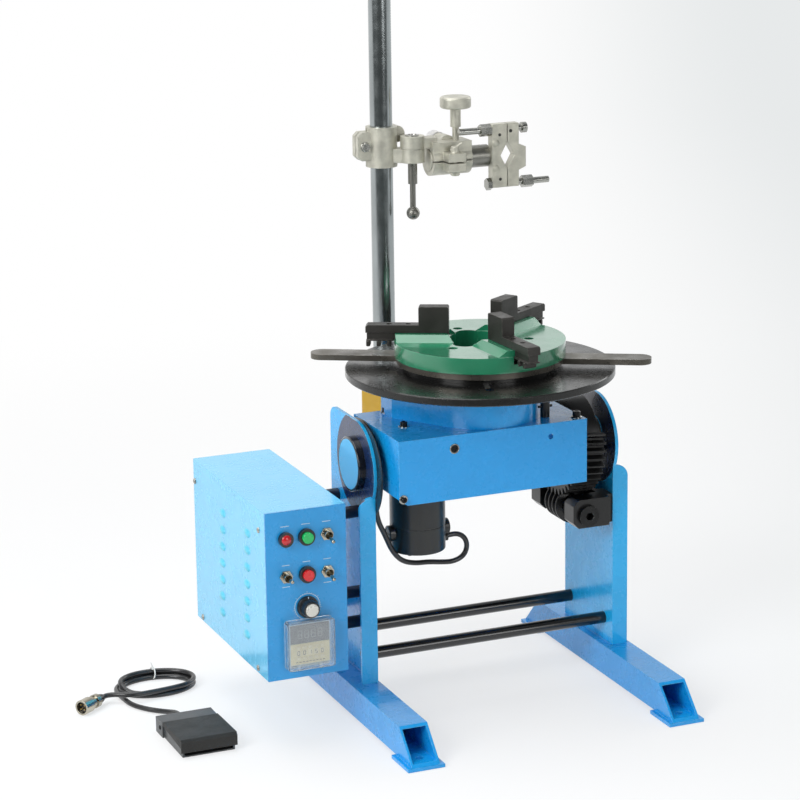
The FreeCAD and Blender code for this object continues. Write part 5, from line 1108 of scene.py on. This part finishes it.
def makeStage(spec):  # pale floor that bends up into a backdrop, with painted shade darkening it towards the right and a painted dark reflection in front
    mesh = bpy.data.meshes.new("paleFloor")
    sheet = bmesh.new()
    line = [(-spec["floorFront"], 0.0), (spec["wallAway"], 0.0)]
    for k in range(1, 13):
        angle = math.pi / 2 * k / 12
        line.append((spec["wallAway"] + spec["bend"] * math.sin(angle), spec["bend"] * (1 - math.cos(angle))))
    line.append((spec["wallAway"] + spec["bend"], spec["wallRise"]))
    ends = (-spec["floorReach"], spec["floorReach"])
    rows = [[sheet.verts.new((x, y, z - spec["sink"])) for x in ends] for y, z in line]
    for first, second in zip(rows, rows[1:]):
        sheet.faces.new((first[0], first[1], second[1], second[0])).smooth = True
    sheet.to_mesh(mesh)
    sheet.free()
    floor = addObject("paleFloor", mesh)
    floor.rotation_euler = (0, 0, math.radians(-cameraView["yaw"]))
    pale, tree, shader = newMaterial("palePaper")
    feed(tree, shader, {"Roughness": 0.75, "Specular IOR Level": 0.25})
    place = objectPlace(tree)
    parts = put(tree, "ShaderNodeSeparateXYZ", [(0, place)])
    # paper tone and glow darken towards the right: painted shade
    across = remap(tree, parts.outputs["X"], 0.05, 1.0)
    tone = mixColour(tree, across, spec["leftPaperLit"], spec["rightPaperPaintedShade"])
    feed(tree, shader, {"Base Color": tone})
    glowTone = mixColour(tree, across, spec["leftGlowLit"], spec["rightGlowPaintedShade"])
    # glossy rays see the floor in front as dark: a painted dark reflection
    path = put(tree, "ShaderNodeLightPath")
    ahead = remap(tree, parts.outputs["Y"], -0.9, -1.5)
    frontReflectionShare = mathNode(tree, "MULTIPLY", ahead, path.outputs["Is Glossy Ray"])
    glowTone = mixColour(tree, frontReflectionShare, glowTone, spec["frontPaintedDarkReflection"])
    glow = put(tree, "ShaderNodeEmission", [("Strength", 1.0), ("Color", glowTone)])
    seen = mathNode(tree, "MAXIMUM", path.outputs["Is Camera Ray"], path.outputs["Is Glossy Ray"])
    seen = mathNode(tree, "MAXIMUM", seen, path.outputs["Is Transmission Ray"])
    away = vectorMath(tree, "LENGTH", place)["Value"]
    share = mathNode(tree, "MULTIPLY", seen, remap(tree, away, 0.5, 2.0, spec["liftNear"], 1.0))
    mix = put(tree, "ShaderNodeMixShader", [(0, share), (1, shader.outputs[0]), (2, glow.outputs[0])])
    feed(tree, tree.nodes["Material Output"], {"Surface": mix.outputs[0]})
    mesh.materials.append(pale)


lampSpec = [
    {"name": "keyLamp", "place": (-2.8, -1.3, 1.9), "aim": (-0.05, 0.0, 0.30), "size": 1.8, "power": 74},
    {"name": "topLamp", "place": (-0.5, 0.6, 3.0), "aim": (0.0, 0.0, 0.3), "size": 2.4, "power": 52},
    {"name": "frontLamp", "place": (0.9, -3.6, 1.3), "aim": (0.0, 0.0, 0.3), "size": 1.6, "power": 30},
    {"name": "rightLamp", "place": (2.6, 0.9, 1.5), "aim": (0.1, 0.0, 0.4), "size": 1.2, "power": 14},
]


def makeLamps(specs):
    for spec in specs:
        data = bpy.data.lights.new(spec["name"], "AREA")
        data.shape = "SQUARE"
        data.size = spec["size"]
        data.energy = spec["power"]
        lamp = addObject(spec["name"], data)
        lamp.location = spec["place"]
        lamp.rotation_euler = (Vector(spec["aim"]) - Vector(spec["place"])).to_track_quat("-Z", "Y").to_euler()


worldSpec = {"strength": 0.46, "from": -0.80, "to": 0.30, "frontTone": (0.22, 0.23, 0.23, 1),
             "backTone": (0.95, 0.97, 1.0, 1)}


def makeWorld(spec):  # darker to the front, so that metal has something to mirror
    world = bpy.data.worlds.new("studioWorld")
    bpy.context.scene.world = world
    world.use_nodes = True
    tree = world.node_tree
    toward = put(tree, "ShaderNodeTexCoord").outputs["Generated"]
    parts = put(tree, "ShaderNodeSeparateXYZ", [(0, toward)])
    room = remap(tree, parts.outputs["Y"], spec["from"], spec["to"])
    tone = mixColour(tree, room, spec["frontTone"], spec["backTone"])
    sky = feed(tree, tree.nodes["Background"], {"Strength": spec["strength"], "Color": tone})
    bright = put(tree, "ShaderNodeBackground", [("Color", (1, 1, 1, 1)), ("Strength", 1.0)])
    path = put(tree, "ShaderNodeLightPath")
    seen = mathNode(tree, "MAXIMUM", path.outputs["Is Camera Ray"], path.outputs["Is Transmission Ray"])
    mix = put(tree, "ShaderNodeMixShader", [(0, seen), (1, sky.outputs[0]), (2, bright.outputs[0])])
    feed(tree, tree.nodes["World Output"], {"Surface": mix.outputs[0]})


makeStage(stageSpec)
makeLamps(lampSpec)
makeWorld(worldSpec)
bpy.context.scene.view_settings.view_transform = "Standard"
print("stage and light ready")
